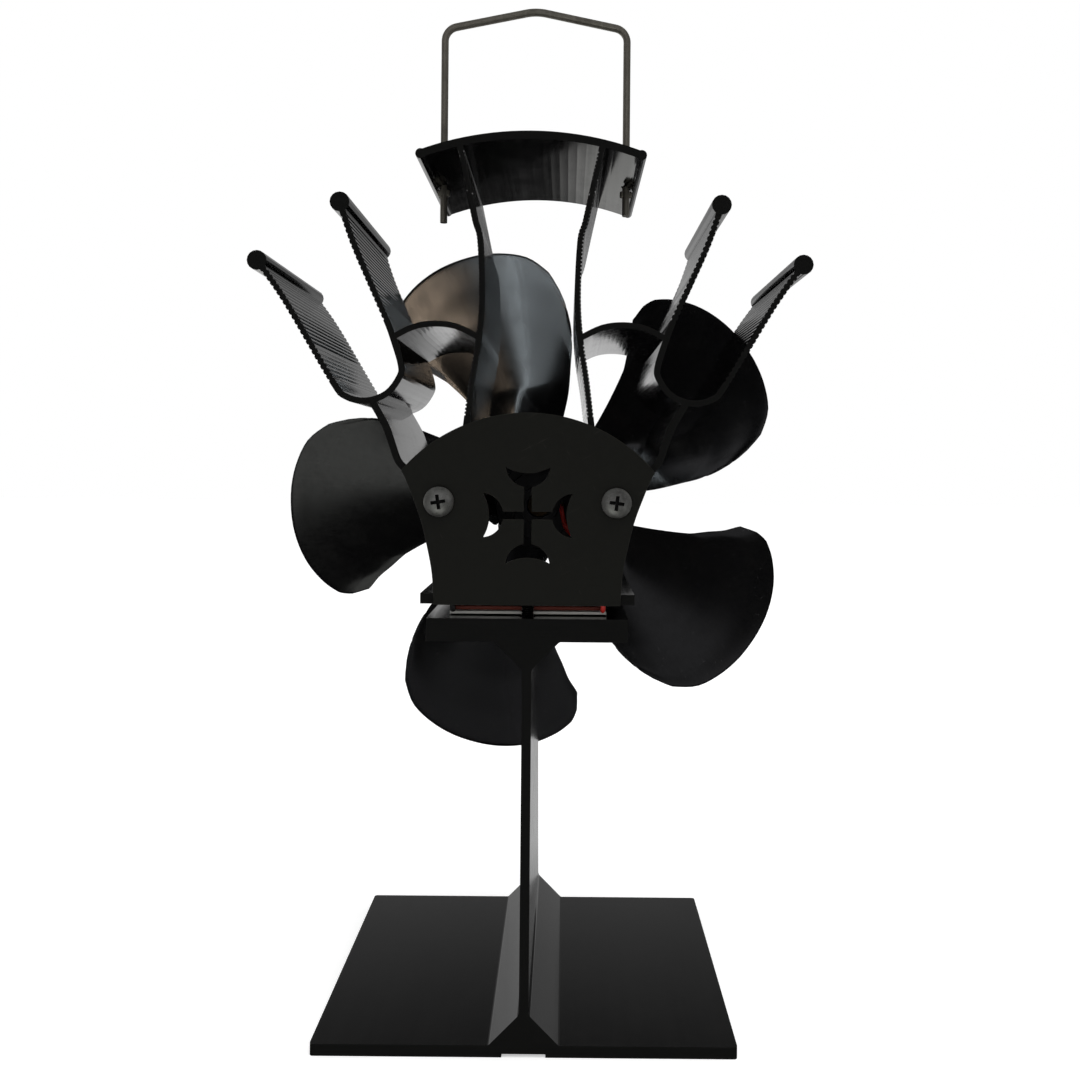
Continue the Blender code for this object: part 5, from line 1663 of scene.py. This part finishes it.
@dataclass
class Bracket:
    """The flat bar across the far end of the chamber, with its four screws."""

    length: float = 52.0 * MM
    width: float = 13.0 * MM
    near: float = 11.8 * MM
    thickness: float = 1.2 * MM
    corner_radius: float = 2.5 * MM
    edge: float = 0.12 * MM
    head_radius: float = 2.1 * MM
    head_height: float = 1.3 * MM
    shank_radius: float = 1.1 * MM
    shank_length: float = 2.6 * MM
    slot_width: float = 0.5 * MM
    slot_depth: float = 0.6 * MM
    slot_turns: Pair = (25, 70)

    def small_screw(self, name: str, place: Matrix, turn: float) -> Thing:
        """A small cheese-head screw with its slot turned by some degrees.

        Args:
            name: Its name.
            place: Where its head's underside sits.
            turn: The slot's turn.

        Returns:
            The screw.
        """
        head, height, shank, tip = self.head_radius, self.head_height, self.shank_radius, -self.shank_length
        profile = [
            (0.0, height), (head - 0.35 * MM, height), (head, height - 0.3 * MM), (head, 0.0),
            (shank, 0.0), (shank, tip + 0.2 * MM), (shank - 0.3 * MM, tip), (0.0, tip),
        ]
        screw = lathe(name, profile, place, 40)
        slot = place @ Matrix.Rotation(math.radians(turn), 4, "Z")
        low = (-3 * MM, -self.slot_width / 2, height - self.slot_depth)
        carve(screw, block("cutter", low, (3 * MM, self.slot_width / 2, height + OVERRUN), slot))
        return close_up(screw)

    def build(self, motor: Motor) -> None:
        """Cut the bar and drive its screws.

        Args:
            motor: The motor it carries.
        """
        far = self.near + self.thickness
        half, low, high = self.length / 2, COVER_SCREW_Z - self.width / 2, COVER_SCREW_Z + self.width / 2
        corners = [(-half, low), (half, low), (half, high), (-half, high)]
        bar = plate("bracket", fillet(corners, [self.corner_radius] * 4, 8), self.near, far)
        holes = [(AXIS_X, AXIS_Z, BUSH_RADIUS)]
        holes += [(x, AXIS_Z, MOTOR_SCREW_HOLE_RADIUS) for x in motor.screw_xs()]
        holes += [(side * COVER_SCREW_X, COVER_SCREW_Z, FREE_HOLE_RADIUS) for side, _ in SIDES]
        for x, z, radius in holes:
            hole = looking(Facing.FAR, x, 0, z)
            carve(bar, rod(radius, self.near - OVERRUN, far + OVERRUN, hole, 40))
        soften(bar, self.edge, 2, 40)
        seat(even_out(close_up(bar)), "bright_steel", BRACKET_STEEL, "motor_bracket")
        for side, word in SIDES:
            place = looking(Facing.FAR, side * COVER_SCREW_X, far + GAP, COVER_SCREW_Z)
            PanScrew().fit(f"bracket_screw_{word}", place, 20 + 35 * side)
        for (_, word), x, turn in zip(SIDES, motor.screw_xs(), self.slot_turns):
            place = looking(Facing.FAR, x, far + GAP, AXIS_Z)
            screw = self.small_screw(f"motor_screw_{word}_head", place, turn)
            seat(screw, "screw_steel", ZINC, f"motor_screw_{word}")


@dataclass
class Leads:
    """The red and the black lead from the module to the motor's terminals."""

    radius: float = 0.65 * MM
    spacing: float = 38.0 * MM
    notch_y: float = -37.3 * MM
    module_near: float = -33.5 * MM
    seal_z: float = 111.5 * MM
    end_y: float = -20.5 * MM

    def route(self, side: int, rise_share: float) -> list[Triple]:
        """The lead's own points on one side.

        Args:
            side: 1 for the right, -1 for the left.
            rise_share: How much of the climb is done halfway.

        Returns:
            The points from the module to the terminal.
        """
        radius = self.radius
        start_x = side * self.spacing / 2
        end_x = AXIS_X + side * TERMINAL_SPACING / 2
        climb = AXIS_Z - SINK_FLOOR_Z
        return [
            (start_x, self.module_near - GAP, self.seal_z),
            (start_x, self.notch_y + radius * 2, self.seal_z),
            (start_x, self.notch_y, self.seal_z + radius * 2),
            (start_x, self.notch_y, SINK_FLOOR_Z),
            (start_x * 0.93, self.notch_y + radius * 3, SINK_FLOOR_Z + radius * 5),
            ((start_x + end_x) / 2, (self.notch_y + self.end_y) / 2, SINK_FLOOR_Z + climb * rise_share),
            (end_x + side * radius * 2, self.end_y - radius * 5, AXIS_Z - radius * 9),
            (end_x, self.end_y - radius * 5, AXIS_Z - radius * 2),
            (end_x, self.end_y, AXIS_Z),
        ]

    def build(self) -> None:
        """Lay both leads."""
        for side, word, share, finish in ((1, "red", 0.55, RED_SLEEVE), (-1, "black", 0.25, BLACK_SLEEVE)):
            lead = wire(f"{word}_sleeve", smooth_path(self.route(side, share), 10), self.radius, 3)
            seat(lead, f"{word}_insulation", finish, f"{word}_lead")


@dataclass
class Wheel:
    """The five-bladed wheel pressed from one sheet, with its hub and cap."""

    radius: float = 84.0 * MM
    count: int = 5
    thickness: float = 0.8 * MM
    disc_radius: float = 11.0 * MM
    bore_radius: float = 3.0 * MM
    hub_radius: float = 8.5 * MM
    hub_thickness: float = 2.2 * MM
    hub_bore: float = 1.3 * MM
    boss_radius: float = 4.5 * MM
    boss_length: float = 10.0 * MM
    spigot_radius: float = 2.7 * MM
    spigot_length: float = 2.0 * MM
    grub_radius: float = 1.5 * MM
    grub_ends: Pair = (1.3 * MM, 4.2 * MM)
    key_radius: float = 0.85 * MM
    cap_radius: float = 7.5 * MM
    cap_side: float = 1.6 * MM
    cap_rise: float = 4.9 * MM
    shaft_room: float = 1.2 * MM
    pitch: float = math.radians(17)
    camber: float = 3.2 * MM
    notch_low: float = 19.8 * MM
    notch_high: float = 27.0 * MM
    trim: float = 0.25 * MM
    edge: float = 0.15 * MM
    twist_end: float = 0.44
    apex_radius: float = 37.0 * MM
    bend_slope: float = math.tan(math.radians(25))
    bend_round: float = 0.7 * MM
    spans: int = 76
    chords: int = 48
    leading: Rows = (
        (0.0, -0.9306), (0.48, -0.9306), (0.7, -0.9056), (0.85, -0.8889), (1.0, -0.8542),
    )
    trailing: Rows = (
        (0.0, -0.2639), (0.35, -0.2361), (0.52, -0.2125), (0.7, -0.1875), (0.8, -0.1597),
        (0.9, -0.1389), (1.0, -0.1111),
    )
    tip: Rows = (
        (-0.8542, 0.700), (-0.8333, 0.760), (-0.8056, 0.810), (-0.7639, 0.875), (-0.6944, 0.935),
        (-0.6111, 0.968), (-0.5278, 0.988), (-0.4167, 1.000), (-0.3333, 0.998), (-0.2639, 0.985),
        (-0.1944, 0.958), (-0.1458, 0.925), (-0.1222, 0.880), (-0.1111, 0.815),
    )

    def offset(self, radius: float, share: float, turn: float) -> float:
        """How far a point of a blade stands behind the disc.

        The blade is pitched outside two bend lines that run from the disc to an apex on its middle line.

        Args:
            radius: Its distance from the axis.
            share: Its place from the leading edge, 0, to the trailing edge, 1.
            turn: Its angle from the blade's middle, in radians.

        Returns:
            The offset along the axis.
        """
        reach = (radius - self.disc_radius) / (self.twist_end * self.radius - self.disc_radius)
        reach = min(1, max(0, reach))
        ease = reach * reach * (3 - 2 * reach)
        aside = radius * math.sin(turn)
        flat = max(0, self.apex_radius - radius * math.cos(turn)) * self.bend_slope
        past = abs(aside) - flat
        if flat:
            past = (past + math.hypot(past, self.bend_round * min(1, flat / MM))) / 2
        past *= min(1, max(0, radius - self.notch_low) / (self.notch_high - self.notch_low))
        bowed = ease * self.camber * (1 - (2 * share - 1) ** 2)
        return math.copysign(past, aside) * math.tan(self.pitch) - bowed

    def edges(self, span: float) -> Pair:
        """Places of the leading and the trailing edge in shares of a blade's pitch.

        Args:
            span: Share of the way from the disc to the tip.

        Returns:
            Both places; near the disc they meet those of the next blades.
        """
        lead, trail = lookup(self.leading, span), lookup(self.trailing, span)
        radius = self.disc_radius + span * (self.radius - self.disc_radius)
        inside = (self.notch_high - radius) / (self.notch_high - self.notch_low)
        inside = min(1, max(0, inside))
        fill = 1 - math.sqrt(1 - inside ** 2)
        first, last = self.leading[0][1], self.trailing[0][1]
        spare = (1 - (last - first)) / 2
        return lead + (first - spare - lead) * fill, trail + (last + spare - trail) * fill

    def station(self, step: int) -> float:
        """A step across a blade in shares of its chord, finer towards both edges."""
        return (1 - math.cos(math.pi * step / self.chords)) / 2

    def blade(self) -> Thing:
        """One blade as a bowed sheet with its pressed crease, from the disc out.

        Returns:
            The blade.
        """
        deselect()
        bpy.ops.mesh.primitive_grid_add(x_subdivisions=self.chords, y_subdivisions=self.spans, size=MM)
        piece = bpy.context.object
        pitch = math.tau / self.count
        columns = self.chords + 1
        for index, vertex in enumerate(piece.data.vertices):
            span = (index // columns) / self.spans
            share = self.station(index % columns)
            lead, trail = self.edges(span)
            at = lead + (trail - lead) * share
            first, last = self.tip[0][0], self.tip[-1][0]
            tip = lookup(self.tip, first + (last - first) * share) * self.radius - self.trim
            radius = self.disc_radius + span * (tip - self.disc_radius)
            turn = (at - (lead + trail) / 2) * pitch
            angle = at * pitch
            back = self.offset(radius, share, turn)
            vertex.co = (radius * math.cos(angle), back, radius * math.sin(angle))
        return piece

    def build_sheet(self) -> Thing:
        """Copy the blade round the disc, close the sheet and round its edges.

        Returns:
            The bladed sheet.
        """
        blades = [self.blade()]
        pitch = math.tau / self.count
        for turn in range(1, self.count):
            blades.append(copy_of(blades[0], "blade", Matrix.Rotation(-turn * pitch, 4, "Y")))
        low = self.edges(0)[0]
        shares = [self.station(step) for step in range(self.chords)]
        angles = [(low + share + turn) * pitch for turn in range(self.count) for share in shares]
        bore = self.bore_radius
        disc = ring("blade_wheel", [(bore * math.cos(turn), 0, bore * math.sin(turn)) for turn in angles])
        share = self.disc_radius / bore
        with editing(disc):
            bpy.ops.mesh.extrude_region_move()
            bpy.ops.transform.resize(value=(share, share, share), center_override=(0, 0, 0))
        sheet = join([disc, *blades])
        with editing(sheet):
            bpy.ops.mesh.remove_doubles(threshold=0.01 * MM)
            bpy.ops.mesh.normals_make_consistent(inside=False)
        use(sheet, "SOLIDIFY", thickness=self.thickness, offset=0, use_even_offset=False)
        soften(sheet, self.edge, 2, 60)
        sheet.matrix_world = Matrix.Translation((AXIS_X, WHEEL_Y, AXIS_Z))
        settle(sheet)
        return seat(close_up(sheet, 40), "black_blades", BLADE_LACQUER, "fan_wheel", body=Body.ROTOR)

    def build_hub(self, axis: Matrix) -> None:
        """Turn hub and cap and fit the set screw.

        Args:
            axis: The motor's axis.
        """
        disc_far = WHEEL_Y - self.thickness / 2 - GAP
        disc_near = disc_far - self.hub_thickness
        boss_near = disc_near - self.boss_length
        spigot_far = disc_far + self.thickness + GAP + self.spigot_length
        bore, spigot, disc, boss = self.hub_bore, self.spigot_radius, self.hub_radius, self.boss_radius
        rim, edge, burr = 0.3 * MM, 0.2 * MM, 0.15 * MM
        profile = [
            (bore, spigot_far), (spigot - edge, spigot_far), (spigot, spigot_far - edge),
            (spigot, disc_far), (disc - rim, disc_far), (disc, disc_far - rim), (disc, disc_near + rim),
            (disc - rim, disc_near), (boss + rim, disc_near), (boss, disc_near - rim),
            (boss, boss_near + rim), (boss - rim, boss_near), (bore + burr, boss_near),
            (bore, boss_near + burr),
        ]
        hub = lathe("hub", profile, axis, 72)
        across = Matrix.Translation((AXIS_X, boss_near + self.boss_length / 2, AXIS_Z))
        carve(hub, rod(self.grub_radius + GAP, 0, boss + OVERRUN, across))
        seat(close_up(hub), "black_turned", TURNED_BLACK, "fan_hub", body=Body.ROTOR)
        low, high = self.grub_ends
        grub, taper = self.grub_radius, 0.4 * MM
        profile = [(0.0, high), (grub - edge, high), (grub, high - edge)]
        profile += [(grub, low + taper), (grub - taper, low), (0.0, low)]
        screw = lathe("grub_screw", profile, across, 40)
        carve(screw, rod(self.key_radius, high - 1.4 * MM, high + MM, across, 6))
        seat(close_up(screw), "dark_steel", BLACK_OXIDE, "hub_set_screw", body=Body.ROTOR)
        near = WHEEL_Y + self.thickness / 2 + GAP
        foot, hollow, cap = near + self.cap_side, spigot_far + GAP, self.cap_radius
        dome = [(p.x, p.y) for p in arc((0, 0), 1, math.pi / 2, 0, 18)]
        profile = [(cap * out, foot + self.cap_rise * up) for out, up in dome]
        profile += [(cap, near + edge), (cap - edge, near)]
        profile += [(self.bore_radius, near), (self.bore_radius, hollow), (bore, hollow)]
        profile += [(bore, hollow + self.shaft_room), (0.0, hollow + self.shaft_room)]
        seat(lathe("cap", profile, axis, 72), "black_turned", TURNED_BLACK, "hub_cap", body=Body.ROTOR)

    def build(self, axis: Matrix) -> Thing:
        """Build what holds the bladed sheet, then the sheet."""
        self.build_hub(axis)
        return self.build_sheet()


@dataclass
class Handle:
    """The wire bail with its pressed ears."""

    half: float = 25.4 * MM
    wire_radius: float = 1.0 * MM
    shoulder_z: float = 269.6 * MM
    rise: float = 5.2 * MM
    right_foot_z: float = 217.8 * MM
    left_foot_z: float = 215.6 * MM
    shoulder_radius: float = 4.0 * MM
    ridge_radius: float = 14.0 * MM
    ear: Triple = (3.4 * MM, 1.2 * MM, 1.9 * MM)
    ear_round: float = 0.45 * MM
    top_thickness: float = 2.0 * MM

    def line(self) -> list[Vector]:
        """The wire's middle line, from the right foot round to the left one.

        Returns:
            Its points.
        """
        half, top = self.half, self.shoulder_z
        right, ridge, left = Vector((half, top)), Vector((0, top + self.rise)), Vector((-half, top))
        right_foot, left_foot = Vector((half, self.right_foot_z)), Vector((-half, self.left_foot_z))
        flat = [right_foot] + [right_foot.lerp(right, step / 8) for step in range(1, 7)]
        flat += bend(right, right_foot, ridge, self.shoulder_radius, 10)
        flat += bend(ridge, right, left, self.ridge_radius, 10)
        flat += bend(left, ridge, left_foot, self.shoulder_radius, 10)
        flat += [left.lerp(left_foot, step / 8) for step in range(2, 8)] + [left_foot]
        return [Vector((x, SINK_MIDDLE_Y, z)) for x, z in flat]

    def build(self) -> Thing:
        """Bend the wire and press its ears.

        Returns:
            The handle.
        """
        handle = wire("bail", self.line(), self.wire_radius, 5)
        low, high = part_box("carry_handle")
        size, crown = Vector(self.ear), self.ear_top()
        for side, _ in SIDES:
            middle = Vector((side * self.half, SINK_MIDDLE_Y, crown - size.z / 2))
            ear = block("ear", middle - size / 2, middle + size / 2)
            soften(ear, self.ear_round, 4, 40)
            fuse(handle, ear)
        LOG.info("bail between %s and %s", tuple(low), tuple(high))
        return seat(close_up(handle, 50), "handle_steel", HANDLE_WIRE, "carry_handle", body=Body.HANDLE)

    def ear_top(self) -> float:
        """Height of the ears' upper faces, just under the sink's top plate."""
        end = Sink.point((0.410, 0.958))
        radius = chord_radius(end.x, SINK_TOP_Z - end.y)
        under = math.sqrt((radius - self.top_thickness) ** 2 - (self.half + self.ear[0] / 2) ** 2)
        return SINK_TOP_Z - radius + under - GAP


@dataclass(frozen=True)
class Patch:
    """A soft patch of light in the room, seen only in glossy surfaces; angles are degrees."""

    azimuth: float
    elevation: float
    half_across: float
    half_up: float
    level: float
    colour: Colour = (1.0, 1.0, 1.0)
    softness: float = 0.5

    def place(self, graph: Graph, look: Socket) -> Socket:
        """The patch's light for a direction.

        Args:
            graph: The world's graph.
            look: The direction.

        Returns:
            Its colour there, black outside it.
        """
        ahead = heading(self.azimuth, self.elevation)
        across = heading(self.azimuth + 90, 0) / math.sin(math.radians(self.half_across))
        up = ahead.cross(across).normalized() / math.sin(math.radians(self.half_up))
        right, above, depth = (
            graph.vector("DOT_PRODUCT", look, tuple(axis)).outputs["Value"] for axis in (across, up, ahead)
        )
        behind = graph.times(graph.sum("LESS_THAN", depth, 0.0), 99.0)
        off = graph.add("CombineXYZ", {0: right, 1: above, 2: behind}).outputs[0]
        inputs = {0: graph.length(off), 1: 1 + self.softness, 2: 1 - self.softness, 3: 0.0, 4: 1.0}
        mask = graph.add("MapRange", inputs, interpolation_type="SMOOTHSTEP").outputs[0]
        return graph.mix(mask, (0.0, 0.0, 0.0), tuple(part * self.level for part in self.colour))


@dataclass(frozen=True)
class Window:
    """A window far behind the viewer, whose light the blades alone mirror.

    Its angles are degrees as seen from the wheel, and those of `half` are half its width and height.
    """

    name: str
    azimuth: float
    elevation: float
    half: Pair
    level: float
    colour: Colour = (0.84, 0.94, 1.0)
    distance: float = 2.0


@dataclass
class Studio:
    """Pale floor, soft light and the camera."""

    distance: float = 213.0 * MM
    camera_x: float = 9.64 * MM
    camera_z: float = 148.5 * MM
    focal_pixels: float = 852.0
    picture: Pair = (1080.0, 1081.0)
    sensor: float = 36.0
    aim_z: float = AXIS_Z + 50 * MM
    centre: Pair = (567.0, 464.0)
    roll: float = 0.5
    room_level: float = 0.016
    card_middle: Pair = (0.0, 0.17)
    card_half: Pair = (0.30, 0.19)
    card_level: float = 0.5
    windows: tuple[Window, ...] = (
        Window("window", -158.0, -4.5, (9.5, 7.5), 2.5),
        Window("window_post", -149.3, -4.0, (1.8, 8.5), 8.0),
        Window("warm_lamp", -136.5, -12.5, (3.6, 4.5), 8.0, (1.0, 0.78, 0.58)),
        Window("low_light", 147.0, -18.5, (15.0, 6.5), 0.27, (0.95, 0.95, 1.0)),
    )
    patches: tuple[Patch, ...] = (
        Patch(-171, 13, 10, 11, 0.6, (0.95, 0.95, 1.0), 0.35),
        Patch(157, 13, 11, 9, 0.38, (0.95, 0.95, 1.0), 0.35),
        Patch(-171, -27, 12, 11, 1.0, (0.98, 1.0, 0.95), 0.2),
        Patch(-26.0, -18.2, 20.6, 7.0, 0.9, (1.0, 1.0, 0.97), 0.06),
    )

    def camera(self) -> None:
        """Place the camera at the photograph's viewing point."""
        deselect()
        bpy.ops.object.camera_add()
        camera = added("viewpoint")
        lens = camera.data
        wide, high = self.picture
        lens.sensor_width = self.sensor
        lens.lens = self.focal_pixels * self.sensor / high
        lens.shift_x = (wide / 2 - self.centre[0]) / high
        lens.shift_y = (self.centre[1] - high / 2) / high
        lens.clip_start = 10 * MM
        turn = Euler((math.radians(90), 0, 0)).to_matrix().to_4x4()
        roll = Matrix.Rotation(math.radians(self.roll), 4, "Z")
        spot = Matrix.Translation((self.camera_x, NEAR_FACE_Y - self.distance, self.camera_z))
        camera.matrix_world = spot @ turn @ roll
        bpy.context.scene.camera = camera

    def world(self) -> None:
        """White to the camera, even to matt surfaces; gloss mirrors a backdrop and soft patches."""
        world = bpy.data.worlds.new("studio")
        world.use_nodes = True
        world.cycles.sampling_method = "NONE"
        bpy.context.scene.world = world
        world.node_tree.nodes.clear()
        graph = Graph(world.node_tree)
        path = graph.add("LightPath").outputs
        look = graph.add("TexCoord").outputs["Generated"]
        side, depth, height = graph.add("SeparateXYZ", {0: look}).outputs[:3]
        low = graph.remap(height, 0.26, 0.0, (0.0, 0.55))
        high = graph.remap(height, 0.60, 0.44, (0.0, 0.33))
        under = graph.remap(height, -0.275, -0.17)
        backdrop = graph.times(graph.plus(low, high), under)
        backdrop = graph.times(backdrop, graph.remap(depth, -0.05, 0.5))
        backdrop = graph.times(backdrop, graph.remap(side, 0.08, 0.5, (1.0, 0.35)))
        gloss = graph.grey(graph.plus(backdrop, self.room_level))
        for patch in self.patches:
            inputs = {0: 1.0, 6: gloss, 7: patch.place(graph, look)}
            gloss = graph.add("Mix", inputs, data_type="RGBA", blend_type="ADD").outputs[2]
        seen = graph.sum("MAXIMUM", path["Is Glossy Ray"], path["Is Transmission Ray"])
        diffuse = graph.remap(height, -1.0, 1.0, (0.55, 0.8))
        level = graph.mix(seen, graph.grey(diffuse), gloss)
        level = graph.mix(path["Is Camera Ray"], level, (1.0, 1.0, 1.0))
        sky = graph.add("Background", {"Color": level, "Strength": 1.0})
        graph.finish(sky.outputs[0], "OutputWorld")

    def floor(self) -> None:
        """A pale floor that shows white to the camera but for the object's shadow."""
        deselect()
        bpy.ops.mesh.primitive_plane_add(size=6, location=(0, 0, -0.05 * MM))
        floor = added("studio_floor")
        settle(floor)
        made, graph = fresh_material("studio_floor")
        coords = graph.add("TexCoord").outputs["Object"]
        tone = graph.remap(graph.noise(coords, 40.0), 0.3, 0.7, (0.80, 0.84))
        colour = graph.add("CombineColor", {0: tone, 1: tone, 2: tone}).outputs[0]
        glow = graph.times(graph.add("LightPath").outputs["Is Camera Ray"], 0.45)
        shader = graph.add("BsdfPrincipled", {
            "Base Color": colour, "Roughness": 0.9, "Emission Color": (1, 1, 1, 1),
            "Emission Strength": glow,
        })
        graph.finish(shader.outputs[0])
        floor.data.materials.append(made)
        floor.visible_glossy = False

    def card(self) -> None:
        """Lay the bright part of the floor behind the object, seen only in glossy surfaces."""
        deselect()
        bpy.ops.mesh.primitive_plane_add(size=2, location=(*self.card_middle, 0.0))
        card = added("floor_card")
        card.scale = (*self.card_half, 1)
        settle(card)
        made, graph = fresh_material("floor_card")
        made.cycles.emission_sampling = "NONE"
        coords = graph.add("TexCoord").outputs["Object"]
        centred = graph.vector("SUBTRACT", coords, (*self.card_middle, 0)).outputs[0]
        scale = (1 / self.card_half[0], 1 / self.card_half[1], 0)
        away = graph.length(graph.vector("MULTIPLY", centred, scale).outputs[0])
        mask = graph.remap(away, 1.0, 0.45)
        light = graph.add("Emission", {"Strength": self.card_level}).outputs[0]
        clear = graph.add("BsdfTransparent").outputs[0]
        graph.finish(graph.add("MixShader", {0: mask, 1: clear, 2: light}).outputs[0])
        card.data.materials.append(made)
        card.visible_camera = card.visible_diffuse = card.visible_shadow = False

    def lamp(
        self, name: str, place: Sequence[float], aim: Sequence[float], size: Pair, power: float,
        colour: Colour = (1, 1, 1),
    ) -> Thing:
        """A soft rectangular lamp.

        Args:
            name: The lamp's name.
            place: Where it stands.
            aim: The point it looks at.
            size: Its width and height.
            power: Its power in watts.
            colour: Its colour.

        Returns:
            The lamp.
        """
        deselect()
        bpy.ops.object.light_add(type="AREA", location=place)
        lamp = added(name)
        lamp.data.shape = "RECTANGLE"
        lamp.data.size, lamp.data.size_y = size
        lamp.data.energy = power
        lamp.data.color = colour
        lamp.visible_glossy = False
        lamp.rotation_euler = (Vector(aim) - Vector(place)).to_track_quat("-Z", "Y").to_euler()
        return lamp

    def hang(self, window: Window) -> Thing:
        """Hang one window.

        Args:
            window: The window.

        Returns:
            The window's lamp.
        """
        wheel = Vector((AXIS_X, WHEEL_Y, self.aim_z))
        spot = wheel + heading(window.azimuth, window.elevation) * window.distance
        size = tuple(2 * window.distance * math.tan(math.radians(part)) for part in window.half)
        power = window.level * math.pi * size[0] * size[1]
        lamp = self.lamp(window.name, spot, wheel, size, power, window.colour)
        lamp.visible_glossy = True
        lamp.visible_camera = lamp.visible_diffuse = False
        lamp.data.cycles.use_multiple_importance_sampling = False
        return lamp

    def light_blades(self, wheel: Thing) -> None:
        """Hang the windows that only the wheel mirrors.

        Args:
            wheel: The bladed wheel.
        """
        mirrors = bpy.data.collections.new("mirrors_windows")
        mirrors.objects.link(wheel)
        for window in self.windows:
            linking = self.hang(window).light_linking
            linking.receiver_collection = linking.blocker_collection = mirrors

    def build(self) -> None:
        """Set up camera, world, floor and lamps."""
        self.camera()
        self.world()
        self.floor()
        self.card()
        self.lamp("top", place=(0.25, -0.25, 1.3), aim=(0, 0, 0.1), size=(0.9, 0.9), power=7.0)
        bpy.context.scene.view_settings.view_transform = "Standard"


def main() -> None:
    """Build every sub-assembly in order and set up the studio."""
    logging.basicConfig(level=logging.INFO, format="%(message)s")
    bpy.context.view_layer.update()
    studio = Studio()
    studio.build()
    Stand().build()
    Module().build()
    Sink().build()
    Cover().build()
    Clamps().build()
    motor = Motor()
    motor.build()
    Bracket().build(motor)
    Leads().build()
    studio.light_blades(Wheel().build(motor.axis()))
    Handle().build()


if __name__ == "__main__":
    main()
